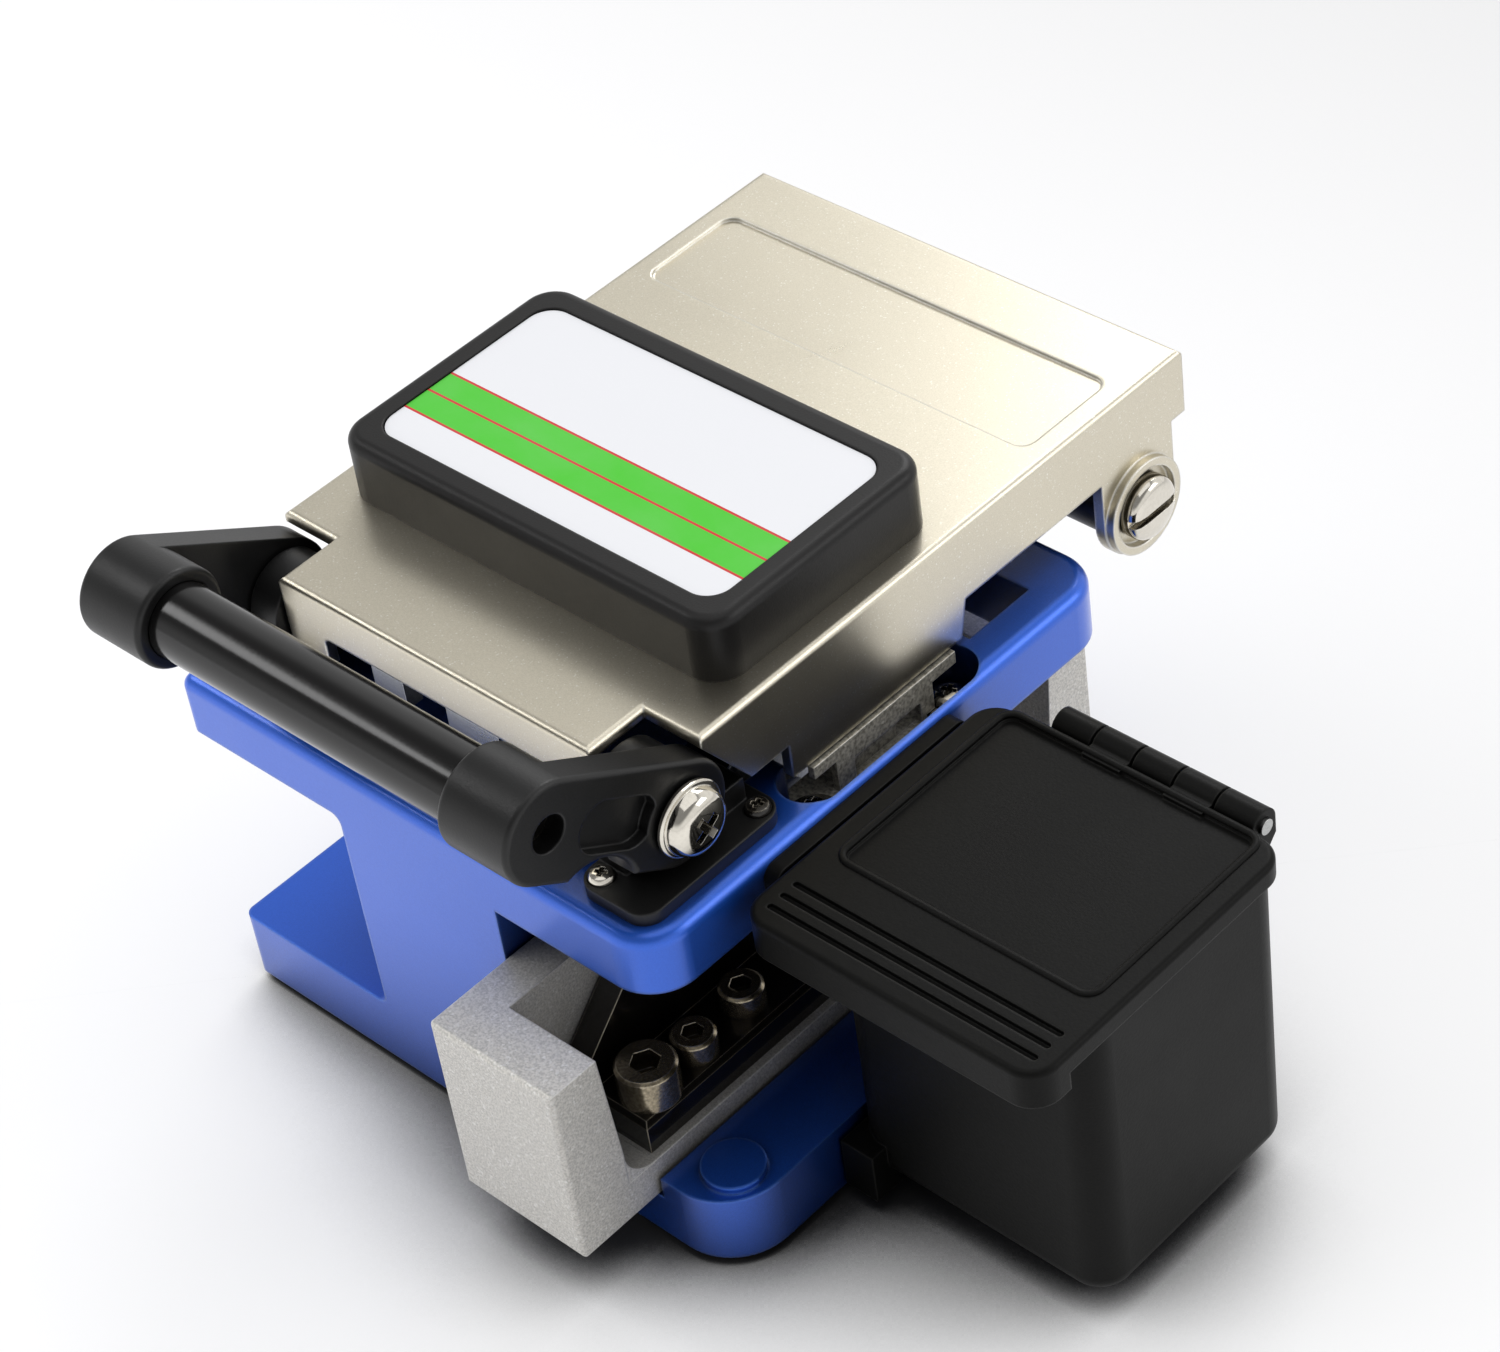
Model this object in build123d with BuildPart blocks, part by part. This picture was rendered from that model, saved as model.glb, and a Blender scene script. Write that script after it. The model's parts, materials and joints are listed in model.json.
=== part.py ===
"""Bench fibre cleaver: cast base, sliding blade carriage, pressed lid, front bail and waste box."""
import os
from math import atan2, degrees

from build123d import *

# X runs along the fibre, Y to the back and Z up. The origin is on the resting surface, under the
# middle of the table. All sizes are in millimetres.

# Base casting
table_w = 64.0
base_d = 64.0
table_top = 41.7
table_t = 6.9
web_left = -10.4
web_inset = 21.0
foot_reach = 4.6
foot_t = 7.9
foot_corner_r = 6.6
foot_boss_r = 3.2
foot_boss_h = 0.8
table_corner_r = 5.0
table_edge_r = 1.4
root_r = 1.2

# Rubber mat under the foot
mat_t = 1.2
mat_inset = 1.6

# Fits
fit = 0.05
gap = 0.3

# Blade carriage
carriage_w = 15.8
carriage_len = 75.5
carriage_front = -42.2
carriage_h = 21.8
carriage_floor_t = 4.3
carriage_end_t = 5.9
carriage_end_slope = 1.0
carriage_rail_w = 4.6
carriage_root_r = 4.0
carriage_edge_r = 0.5
channel_floor = 6.6
channel_gap = 0.4
travel = 14.0

# Linear guide between web and carriage
rail_w = 7.0
rail_h = 4.8
block_w = 17.0
block_len = 23.5
block_drop = 1.5
guide_screw_r = 1.0
guide_head_r = 1.9
guide_head_h = 1.6
block_screw_r = 1.0
block_screw_dy = 7.0
block_screw_dz = 6.0
block_head_r = 1.9
block_head_h = 1.6
block_head_sink = 2.0

# Fibre line and blade
fibre_y = 2.0
fibre_z = 42.1
blade_r = 8.0
blade_t = 0.8
blade_from_web = 9.0
blade_steps = 16
blade_shaft_r = 1.5
shaft_head_r = 2.8
shaft_head_h = 1.6
hub_r = 5.2
hub_t = 0.7

# Blade holder on the carriage floor, with its screws as distance from the blade along X and from
# the plate's front along Y, head radius and head height
holder_t = 3.7
holder_inset = 0.9
holder_front = -31.4
holder_back = 10.0
holder_screw_r = 1.2
holder_screw_rows = (
    (3.3, 3.6, 3.1, 4.0),
    (3.2, 9.9, 2.3, 2.6),
    (2.6, 17.2, 2.3, 2.6),
    (3.2, 37.4, 2.3, 2.6),
)
arm_t = 2.9
arm_low_z = 18.1
arm_top_gap = 1.0
arm_head_w = 10.0
arm_head_z = 38.6

# Windows and seats in the table, from the blade and from the table's right edge
window_before = 4.4
window_after = 3.6
window_front = -14.5
window_back = 25.2
rear_window_after = 7.6
rear_window_front = 16.5
recess_inset = 0.6
recess_depth = 5.6
pocket_r = 3.1

# Bracket of the right clamp, its wall and window measured along Y from the screws
bracket_t = 0.8
bracket_wall_inset = 4.0
bracket_wall_front = 3.9
bracket_wall_back = 2.9
bracket_window_front = 6.2
bracket_window_back = 3.6
bracket_window_top = 39.5
strip_front = 1.0
strip_back = 1.7
strip_h = 1.4
bracket_screw_front = -6.8
bracket_screw_back = 12.3
bracket_screw_r = 1.2
bracket_flange_r = 2.7
bracket_flange_h = 0.6
bracket_head_r = 1.7
bracket_head_h = 1.9
bracket_boss_r = 3.2
bracket_boss_h = 2.2

# Lower clamps, groove plate and magnet
pad_t = 1.6
pad_half_d = 4.0
left_pad_w = 9.0
left_pad_gap = 0.6
right_pad_w = 3.2
groove_inset = 2.0
groove_to_pad = 7.0
groove_half_d = 6.0
groove_seat = 1.2
groove_r = 0.5
groove_screw_inset = 4.0
groove_screw_dy = 3.5
groove_screw_r = 0.8
groove_head_r = 1.5
groove_head_h = 0.6
groove_slot_w = 0.4
magnet_r = 3.0
magnet_y = -19.0
magnet_top = 44.0
magnet_seat = 1.5

# Lid hinge
hinge_y = 42.1
hinge_z = 41.0
hinge_pin_r = 2.0
hinge_lug_r = 4.4
hinge_lug_w = 9.0
hinge_bush_len = 8.6
hinge_bush_r = 4.2
hinge_head_r = 3.4
hinge_head_h = 2.0
hinge_clip_t = 0.8

# Lid pressing
lid_inset = 4.4
lid_top = 54.95
lid_t = 1.2
lid_bend_r = 0.6
lid_front = -25.4
lid_shoulder = -18.3
lid_back = 49.6
tongue_inset = 7.0
ear_edge_z = 46.4
ear_slope_y = -13.0
skirt_front = -8.0
skirt_back = 15.6
skirt_gap = 0.75
rear_edge_z = 46.6
back_wall_z = 47.6
ear_r = 5.4
ear_rim_r = 5.2
ear_rim_t = 0.9
ear_rim_h = 0.9
front_notch_x0 = -15.5
front_notch_x1 = 13.0
front_notch_z = 50.0
front_edge_z = 46.4
panel_inset = 2.6
panel_d = 12.6
panel_y = 35.5
panel_r = 1.6
panel_depth = 0.35

# Press pad on the lid
press_inset = 2.7
press_d = 29.6
press_y = 2.05
press_h = 7.15
press_corner_r = 3.4
press_edge_r = 1.2
label_inset = 2.7
label_d = 23.6
label_r = 2.6
label_depth = 0.6
label_t = 0.4
pad_screw_inset = 8.9
pad_screw_dy = 6.0
pad_screw_r = 1.2
pad_screw_len = 4.0
pad_head_h = 1.2

# Lid mechanism
liner_t = 1.2
liner_side_gap = 0.5
liner_back = 24.0
liner_tabs = ((-9.2, -4.9), (0.9, 7.9))
liner_wall_half = 17.0
liner_wall_t = 0.8
upper_pad_t = 1.4
bridge_t = 3.0
bridge_half_d = 4.5
bridge_drop = 1.2
guide_pin_r = 1.0
guide_pin_inset = 1.0
spring_wire = 0.4
spring_r = 1.55
spring_turns = 3
upper_right_after = 3.2
anvil_w = 2.0
anvil_half_d = 2.6
anvil_gap = 0.8
anvil_stem_r = 0.9
anvil_hole_half = 1.8
anvil_spring_r = 1.3
anvil_wire = 0.35
press_travel = 0.8
anvil_top = 46.5
sleeve_z = 48.6
sleeve_wall = 0.6

# Bail
bail_y = -37.2
bail_z = 58.6
pivot_y = -22.1
pivot_z = 49.05
arm_inset = 2.7
bail_arm_t = 3.5
boss_len = 5.1
boss_r = 5.1
eye_r = 5.4
tube_r = 3.8
tube_seat = 1.6
tube_bore_r = 1.3
arm_pocket = 1.2
arm_rim = 1.3
arm_hole_r = 1.9
pivot_r = 2.0
pivot_run = 0.08
pivot_head_r = 3.9
pivot_head_h = 2.5
post_r = 4.6
post_gap = 0.4
post_foot_h = 1.4
post_foot_front = -30.0
post_foot_back = -11.6
post_foot_inset = 2.0
post_foot_r = 2.2
post_step_h = 4.0
post_screw_inset = 1.8
post_screw_r = 0.8
post_head_r = 1.3

# Waste box
box_reach = 5.0
box_w = 30.4
box_front = -15.4
box_back = 12.4
box_bottom = 3.8
box_top = 38.5
box_wall = 1.5
box_corner_r = 3.5
box_edge_r = 2.0
box_lug_w = 4.0
box_lug_h = 2.0
flange_front = -17.0
flange_bottom = 29.0
flange_edge_r = 1.0
box_lid_front = -22.9
box_lid_over = 1.1
box_lid_t = 2.3
box_lid_gap = 0.2
box_lid_corner_r = 3.0
lip_h = 4.3
lip_d = 4.4
rib_count = 3
rib_pitch = 1.7
rib_w = 0.7
rib_h = 0.5
box_panel_inset = 3.0
box_panel_d = 23.4
box_panel_front = 10.8
box_panel_depth = 0.5
bead_w = 0.5
box_hinge_y = 13.9
box_hinge_z = 40.0
box_knuckle_r = 1.7
box_pin_r = 0.8
knuckle_inset = 4.0
knuckle_w = 4.4
knuckle_pitch = 4.7
knuckle_count = 5
mount_t = 1.6
mount_front = -17.4
mount_back = 9.0
mount_z0 = 28.6
tee_stem_half = 3.0
tee_head_half = 5.0
tee_stem_t = 1.5
tee_head_t = 1.0
tee_top = 35.5
mount_screw_ys = (-15.4, -11.9)
mount_screw_r = 0.9
mount_screw_len = 2.6
mount_head_r = 1.5
mount_head_h = 1.0

# Derived places across the tool
table_x1 = table_w / 2
web_right = table_x1 - web_inset
foot_right = table_x1 + foot_reach
blade_x = web_right + blade_from_web
window_x0 = blade_x - window_before
window_x1 = blade_x + window_after
rear_window_x1 = blade_x + rear_window_after
recess_x1 = table_x1 - recess_inset
bracket_screw_x = recess_x1 - pocket_r
bracket_wall_x = table_x1 - bracket_wall_inset
left_pad_x1 = window_x0 - left_pad_gap
left_pad_x0 = left_pad_x1 - left_pad_w
right_pad_x0 = window_x1 + gap
right_pad_x1 = right_pad_x0 + right_pad_w
groove_x0 = groove_inset - table_x1
groove_x1 = left_pad_x0 - groove_to_pad
lid_w = table_w - 2 * lid_inset
tongue_w = lid_w - 2 * tongue_inset
panel_w = lid_w - 2 * panel_inset
press_w = lid_w - 2 * press_inset
label_w = press_w - 2 * label_inset
upper_right_x0 = blade_x + upper_right_after
guide_pin_left = (left_pad_x0 + left_pad_x1) / 2
guide_pin_right = upper_right_x0 + guide_pin_inset
arm_x0 = lid_w / 2 - arm_inset
arm_x1 = arm_x0 + bail_arm_t
boss_x0 = arm_x0 - boss_len
post_x0 = tongue_w / 2 + post_gap
post_foot_x1 = table_x1 - post_foot_inset
box_x0 = table_x1 + box_reach
box_x1 = box_x0 + box_w
box_lid_x1 = box_x1 + box_lid_over
knuckle_x0 = box_x0 + knuckle_inset

# Other derived places
table_under = table_top - table_t
foot_top = mat_t + foot_t
carriage_x0 = web_right + gap
carriage_x1 = carriage_x0 + carriage_w
holder_x1 = carriage_x1 - holder_inset
carriage_rail_x1 = carriage_x0 + carriage_rail_w
block_screw_seat = carriage_rail_x1 - block_head_sink
carriage_z0 = channel_floor + channel_gap
carriage_top = carriage_z0 + carriage_h
carriage_floor = carriage_z0 + carriage_floor_t
carriage_back = carriage_front + carriage_len
guide_z = carriage_z0 + carriage_h / 2
block_y = -travel / 2
blade_y = fibre_y - travel / 2
blade_z = fibre_z - blade_r
anvil_x = blade_x + blade_t / 2
guide_back = web_right - block_drop - rail_h
holder_top = carriage_floor + holder_t
arm_x = blade_x - hub_t - gap
recess_floor = table_top - recess_depth
skirt_z = table_top + skirt_gap
bracket_top = skirt_z - gap
lower_pad_top = fibre_z - 0.1
upper_pad_z = fibre_z + gap
bridge_z = upper_pad_z + upper_pad_t + bridge_drop
liner_z = lid_top - lid_t - liner_t
ear_inner = lid_w / 2 - lid_t
lug_end = ear_inner - gap - hinge_bush_len
hinge_lug_x0 = lug_end - hinge_lug_w
box_lid_z0 = box_top + box_lid_gap
box_lid_top = box_lid_z0 + box_lid_t
flange_x0 = table_x1 + mount_t + gap
mount_screw_z = table_under + table_t / 2


def block(low, high, mode=Mode.ADD):
    """Box between two corners."""
    with Locations(low):
        size = [high[i] - low[i] for i in range(3)]
        Box(*size, align=(Align.MIN, Align.MIN, Align.MIN), mode=mode)


def rod_x(x0, x1, y, z, radius, mode=Mode.ADD):
    """Cylinder along X between two places."""
    with Locations(Plane(origin=(min(x0, x1), y, z), x_dir=(0, 1, 0), z_dir=(1, 0, 0))):
        Cylinder(radius, abs(x1 - x0), align=(Align.CENTER, Align.CENTER, Align.MIN), mode=mode)


def rod_z(x, y, z0, z1, radius, mode=Mode.ADD):
    """Upright cylinder between two heights."""
    with Locations((x, y, z0)):
        Cylinder(radius, z1 - z0, align=(Align.CENTER, Align.CENTER, Align.MIN), mode=mode)


def save(piece, name):
    """Label a finished piece and write its STEP file."""
    piece.part.label = name
    export_step(piece.part, f"parts/{name}.step")


def rail_spots():
    """Places of the guide rail's screws along Y."""
    reach = block_len / 2
    return [-reach, 0.0, reach]


def make_base_frame():
    """Cast base: foot, upright web and table in one section, with the hinge lugs behind."""
    with BuildPart() as base_frame:
        with BuildSketch(Plane.XZ.offset(-base_d / 2)):
            with BuildLine():
                Polyline(
                    (-table_x1, mat_t),
                    (foot_right, mat_t),
                    (foot_right, foot_top),
                    (web_right, foot_top),
                    (web_right, table_under),
                    (table_x1, table_under),
                    (table_x1, table_top),
                    (-table_x1, table_top),
                    (-table_x1, table_under),
                    (web_left, table_under),
                    (web_left, foot_top),
                    (-table_x1, foot_top),
                    close=True,
                )
            make_face()
        extrude(amount=base_d)
        upright = base_frame.edges().filter_by(Axis.Z)
        right_side = upright.filter_by(lambda e: e.center().X > web_right + 1)
        table_corners = right_side.filter_by(lambda e: e.center().Z > table_under)
        foot_corners = right_side.filter_by(lambda e: e.center().Z < foot_top)
        fillet(table_corners, table_corner_r)
        fillet(foot_corners, foot_corner_r)
        left_side = base_frame.edges().filter_by(Axis.Z).filter_by(lambda e: e.center().X < web_left - 1)
        fillet(left_side, root_r)
        web_edges = base_frame.edges().filter_by(Axis.Y).filter_by(
            lambda e: abs(e.center().X - web_left) < 0.1
        )
        roots = web_edges.filter_by(lambda e: foot_top - 0.1 < e.center().Z < table_under + 0.1)
        fillet(roots, root_r)
        fillet(base_frame.faces().sort_by(Axis.Z)[-1].edges(), table_edge_r)
        # channel that lets the carriage run low in the foot
        block(
            (web_right, -base_d / 2, channel_floor),
            (carriage_x1 + channel_gap, base_d / 2, foot_top),
            Mode.SUBTRACT,
        )
        # pocket for the linear guide, which also stops the carriage at both ends
        pocket_half = block_len / 2 + travel / 2 + gap
        block(
            (guide_back, -pocket_half, guide_z - block_w / 2 - 2 * gap),
            (web_right, pocket_half, guide_z + block_w / 2 + 2 * gap),
            Mode.SUBTRACT,
        )
        for y in rail_spots():
            rod_x(guide_back - 4, guide_back, y, guide_z, guide_screw_r + fit, Mode.SUBTRACT)
        # blade window, wider behind the right clamp
        with BuildSketch(Plane.XY.offset(table_top)):
            with Locations(((window_x0 + window_x1) / 2, (window_front + window_back) / 2)):
                Rectangle(window_x1 - window_x0, window_back - window_front)
            with Locations(((window_x0 + rear_window_x1) / 2, (rear_window_front + window_back) / 2)):
                Rectangle(rear_window_x1 - window_x0, window_back - rear_window_front)
        extrude(amount=-table_t, mode=Mode.SUBTRACT)
        # sunk seat of the right clamp with a round pocket at each screw
        with BuildSketch(Plane.XY.offset(table_top)):
            with Locations(((window_x1 + recess_x1) / 2, (bracket_screw_front + bracket_screw_back) / 2)):
                Rectangle(recess_x1 - window_x1, bracket_screw_back - bracket_screw_front)
            with Locations((bracket_screw_x, bracket_screw_front), (bracket_screw_x, bracket_screw_back)):
                Circle(pocket_r)
        extrude(amount=-recess_depth, mode=Mode.SUBTRACT)
        boss_end = table_under - bracket_boss_h
        for y in (bracket_screw_front, bracket_screw_back):
            rod_z(bracket_screw_x, y, boss_end, table_under + gap, bracket_boss_r)
            rod_z(bracket_screw_x, y, boss_end + gap, recess_floor, bracket_screw_r + fit, Mode.SUBTRACT)
        # seats of the left pad, the groove plate and the magnet
        block(
            (left_pad_x0, fibre_y - pad_half_d, lower_pad_top - pad_t),
            (left_pad_x1, fibre_y + pad_half_d, table_top + 1),
            Mode.SUBTRACT,
        )
        block(
            (groove_x0, fibre_y - groove_half_d, table_top - groove_seat),
            (groove_x1, fibre_y + groove_half_d, table_top + 1),
            Mode.SUBTRACT,
        )
        for x, y in groove_screw_spots():
            rod_z(x, y, table_under, table_top, groove_screw_r + fit, Mode.SUBTRACT)
        rod_z(0, magnet_y, table_top - magnet_seat, table_top + 1, magnet_r + fit, Mode.SUBTRACT)
        hole_x = table_x1 - mount_screw_len
        for y in mount_screw_ys:
            rod_x(hole_x, table_x1, y, mount_screw_z, mount_screw_r + fit, Mode.SUBTRACT)
        for x0 in (hinge_lug_x0, -lug_end):
            with BuildSketch(Plane.YZ.offset(x0)):
                with Locations((hinge_y, hinge_z)):
                    Circle(hinge_lug_r)
                with BuildLine():
                    Polyline(
                        (base_d / 2 - 2, table_under + 1),
                        (hinge_y, hinge_z - hinge_lug_r),
                        (hinge_y, hinge_z),
                        (base_d / 2 - 2, hinge_z - table_edge_r),
                        close=True,
                    )
                make_face()
            extrude(amount=hinge_lug_w)
        rod_x(-lug_end - 1, lug_end + 1, hinge_y, hinge_z, hinge_pin_r + fit, Mode.SUBTRACT)
        for x, y in post_screw_spots():
            rod_z(x, y, table_under + 1, table_top, post_screw_r + fit, Mode.SUBTRACT)
        # low round boss in the front corner of the foot
        boss_x = foot_right - foot_boss_r - mat_t
        boss_y = foot_boss_r + 2 - base_d / 2
        rod_z(boss_x, boss_y, foot_top - 1, foot_top + foot_boss_h, foot_boss_r)
    return base_frame


def make_rubber_mat():
    """Rubber mat glued under the foot, a little smaller than the casting."""
    with BuildPart() as rubber_mat:
        with BuildSketch():
            with Locations(((foot_right - table_x1) / 2, 0)):
                RectangleRounded(
                    table_x1 + foot_right - 2 * mat_inset,
                    base_d - 2 * mat_inset,
                    foot_corner_r - mat_inset,
                )
        extrude(amount=mat_t)
    return rubber_mat


def make_guide_rail():
    """Steel rail screwed into the web's pocket."""
    half_len = block_len / 2 + travel / 2 + gap - fit
    rail_front = guide_back + rail_h
    ball_x = guide_back + rail_h * 0.62
    with BuildPart() as guide_rail:
        block((guide_back, -half_len, guide_z - rail_w / 2), (rail_front, half_len, guide_z + rail_w / 2))
        # ball grooves along both sides
        with BuildSketch(Plane.XZ.offset(-half_len)):
            with Locations((ball_x, guide_z - rail_w / 2), (ball_x, guide_z + rail_w / 2)):
                Circle(0.6)
        extrude(amount=2 * half_len, mode=Mode.SUBTRACT)
        for y in rail_spots():
            rod_x(guide_back, rail_front, y, guide_z, guide_screw_r + fit, Mode.SUBTRACT)
            rod_x(rail_front - guide_head_h - 0.4, rail_front, y, guide_z, guide_head_r + fit, Mode.SUBTRACT)
    return guide_rail


def make_guide_screws():
    """Socket screws that hold the rail to the web."""
    seat = guide_back + rail_h - guide_head_h - 0.4
    with BuildPart() as guide_screws:
        for y in rail_spots():
            rod_x(guide_back - 4, seat, y, guide_z, guide_screw_r)
            rod_x(seat, seat + guide_head_h, y, guide_z, guide_head_r)
            rod_x(seat + guide_head_h - 0.9, seat + guide_head_h, y, guide_z, 0.9, Mode.SUBTRACT)
    return guide_screws


def make_rail_block():
    """Ball carriage that straddles the rail and carries the blade carriage."""
    x0 = guide_back + 3 * gap
    with BuildPart() as rail_block:
        block(
            (x0, block_y - block_len / 2, guide_z - block_w / 2),
            (carriage_x0, block_y + block_len / 2, guide_z + block_w / 2),
        )
        block(
            (x0, block_y - block_len / 2, guide_z - rail_w / 2 - fit),
            (carriage_x0 - block_drop - gap + fit, block_y + block_len / 2, guide_z + rail_w / 2 + fit),
            Mode.SUBTRACT,
        )
        chamfer(rail_block.edges().filter_by(Axis.Y).group_by(Axis.X)[0], 0.4)
    return rail_block


def carriage_profile():
    """Side view of the carriage: a trough with an upright block at each end."""
    front_in = carriage_front + carriage_end_t
    back_in = carriage_back - carriage_end_t
    slope_z = carriage_floor + carriage_root_r
    with BuildSketch(Plane.YZ.offset(carriage_x0)) as profile:
        with BuildLine():
            Polyline(
                (carriage_front, carriage_z0),
                (carriage_back, carriage_z0),
                (carriage_back, carriage_top),
                (back_in, carriage_top),
                (back_in - carriage_end_slope, slope_z),
                (back_in - carriage_end_slope, carriage_floor),
                (front_in + carriage_end_slope, carriage_floor),
                (front_in + carriage_end_slope, slope_z),
                (front_in, carriage_top),
                (carriage_front, carriage_top),
                close=True,
            )
        make_face()
        inner = profile.vertices().filter_by(
            lambda v: abs(v.Z - carriage_floor) < 0.01 and front_in < v.Y < back_in
        )
        fillet(inner, carriage_root_r * 0.9)
    return profile.sketch


def holder_screw_spots():
    """Centre, head radius and head height of the screws in the holder plate."""
    return [
        (blade_x + dx, holder_front + dy, head_r, head_h)
        for dx, dy, head_r, head_h in holder_screw_rows
    ]


def make_carriage():
    """Sliding carriage: trough, end blocks and a tall rail along the web."""
    with BuildPart() as carriage:
        extrude(carriage_profile(), amount=carriage_w)
        block(
            (carriage_x0, carriage_front + 1, carriage_floor - 1),
            (carriage_x0 + carriage_rail_w, carriage_back - 1, carriage_top),
        )
        outer = carriage.edges().filter_by(
            lambda e: abs(e.center().Y - carriage_front) < 0.01 or abs(e.center().Y - carriage_back) < 0.01
        )
        fillet(outer, carriage_edge_r)
        for x, y, _head_r, _head_h in holder_screw_spots():
            rod_z(x, y, carriage_z0 + 1, carriage_floor, holder_screw_r + fit, Mode.SUBTRACT)
        for y, z in block_screw_spots():
            rod_x(carriage_x0, carriage_rail_x1, y, z, block_screw_r + fit, Mode.SUBTRACT)
            rod_x(block_screw_seat, carriage_rail_x1, y, z, block_head_r + fit, Mode.SUBTRACT)
    return carriage


def block_screw_spots():
    """Places along Y and Z of the screws into the ball block."""
    ys = (block_y - block_screw_dy, block_y + block_screw_dy)
    zs = (guide_z - block_screw_dz, guide_z + block_screw_dz)
    return [(y, z) for y in ys for z in zs]


def make_block_screws():
    """Screws from the carriage's rail into the ball block."""
    head_end = block_screw_seat + block_head_h
    with BuildPart() as block_screws:
        for y, z in block_screw_spots():
            rod_x(carriage_x0, block_screw_seat, y, z, block_screw_r)
            rod_x(block_screw_seat, head_end, y, z, block_head_r)
            rod_x(head_end - block_head_h / 2, head_end, y, z, block_screw_r * 0.8, Mode.SUBTRACT)
    return block_screws


def arm_profile():
    """Side view of the upright blade arm with its sloped front edge."""
    low_top = table_under - arm_top_gap
    rise = low_top - arm_low_z
    head_front = blade_y - arm_head_w / 2
    head_back = blade_y + arm_head_w / 2
    with BuildSketch(Plane.YZ.offset(arm_x - arm_t)) as profile:
        with BuildLine():
            Polyline(
                (holder_front, holder_top - 1),
                (holder_front, arm_low_z),
                (holder_front + rise, low_top),
                (head_front, low_top),
                (head_front, arm_head_z),
                (head_back, arm_head_z),
                (head_back, low_top),
                (holder_back - 3, low_top - 3),
                (holder_back, arm_low_z),
                (holder_back, holder_top - 1),
                close=True,
            )
        make_face()
        tall = profile.vertices().filter_by(lambda v: abs(v.Z - arm_head_z) < 0.01)
        fillet(tall, 3.0)
    return profile.sketch


def make_blade_holder():
    """Black plate on the carriage floor with the upright arm that carries the blade."""
    with BuildPart() as blade_holder:
        block((arm_x - arm_t, holder_front, carriage_floor), (holder_x1, holder_back, holder_top))
        rim = blade_holder.edges().group_by(Axis.Z)[-1].filter_by(lambda e: e.center().X > arm_x + 1)
        chamfer(rim, 0.5)
        extrude(arm_profile(), amount=arm_t)
        rod_x(arm_x - arm_t, arm_x, blade_y, blade_z, blade_shaft_r + fit, Mode.SUBTRACT)
        for x, y, _head_r, _head_h in holder_screw_spots():
            rod_z(x, y, carriage_floor, holder_top, holder_screw_r + fit, Mode.SUBTRACT)
    return blade_holder


def make_holder_screws():
    """Socket head screws through the holder plate."""
    with BuildPart() as holder_screws:
        for x, y, head_r, head_h in holder_screw_spots():
            rod_z(x, y, carriage_z0 + 1.2, holder_top, holder_screw_r)
            rod_z(x, y, holder_top, holder_top + head_h, head_r)
            with BuildSketch(Plane.XY.offset(holder_top + head_h)):
                with Locations((x, y)):
                    RegularPolygon(head_r * 0.5, 6)
            extrude(amount=-head_h * 0.6, mode=Mode.SUBTRACT)
        tops = holder_screws.edges().filter_by(GeomType.CIRCLE).filter_by(
            lambda e: e.radius > 2 and e.center().Z > holder_top + 1
        )
        chamfer(tops, 0.3)
    return holder_screws


def make_blade_shaft():
    """Shoulder screw that the blade turns on."""
    x_end = blade_x + blade_t + gap
    with BuildPart() as blade_shaft:
        rod_x(arm_x - arm_t, x_end, blade_y, blade_z, blade_shaft_r)
        rod_x(x_end, x_end + shaft_head_h, blade_y, blade_z, shaft_head_r)
        socket_x = x_end + shaft_head_h * 0.45
        rod_x(socket_x, x_end + shaft_head_h, blade_y, blade_z, shaft_head_r * 0.36, Mode.SUBTRACT)
    return blade_shaft


def make_blade():
    """Round cutting disc with a ground rim and sixteen index holes."""
    run = 0.05
    with BuildPart() as blade:
        with BuildSketch(Plane.YZ.offset(blade_x)):
            with Locations((blade_y, blade_z)):
                Circle(blade_r)
                Circle(blade_shaft_r + run, mode=Mode.SUBTRACT)
                with PolarLocations(blade_r * 0.78, blade_steps):
                    Circle(0.35, mode=Mode.SUBTRACT)
        extrude(amount=blade_t)
        rims = blade.edges().filter_by(GeomType.CIRCLE).filter_by(lambda e: e.radius > blade_r - 0.1)
        chamfer(rims, blade_t * 0.35, blade_t * 0.9)
    return blade


def make_blade_hub():
    """Knurled hub ring behind the blade, with one notch for each cutting position."""
    run = 0.05
    with BuildPart() as blade_hub:
        with BuildSketch(Plane.YZ.offset(blade_x - hub_t)):
            with Locations((blade_y, blade_z)):
                Circle(hub_r)
                Circle(blade_shaft_r + run, mode=Mode.SUBTRACT)
                with PolarLocations(hub_r, blade_steps):
                    Circle(0.35, mode=Mode.SUBTRACT)
        extrude(amount=hub_t)
    return blade_hub


def groove_screw_spots():
    """Centres of the groove plate's two screws."""
    xs = (groove_x0 + groove_screw_inset, groove_x1 - groove_screw_inset)
    return [(x, fibre_y + groove_screw_dy) for x in xs]


def make_groove_plate():
    """Steel plate that guides the fibre, with a groove along X."""
    top = fibre_z - 0.1
    with BuildPart() as groove_plate:
        block(
            (groove_x0 + fit, fibre_y - groove_half_d + fit, table_top - groove_seat),
            (groove_x1 - fit, fibre_y + groove_half_d - fit, top),
        )
        with BuildSketch(Plane.YZ.offset(groove_x0)):
            with BuildLine():
                Polyline(
                    (fibre_y - groove_r, top),
                    (fibre_y, top - groove_r),
                    (fibre_y + groove_r, top),
                    close=True,
                )
            make_face()
        extrude(amount=groove_x1 - groove_x0, mode=Mode.SUBTRACT)
        for x, y in groove_screw_spots():
            rod_z(x, y, table_top - groove_seat, top, groove_screw_r + fit, Mode.SUBTRACT)
            rod_z(x, y, top - groove_head_h, top, groove_head_r + fit, Mode.SUBTRACT)
    return groove_plate


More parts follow.
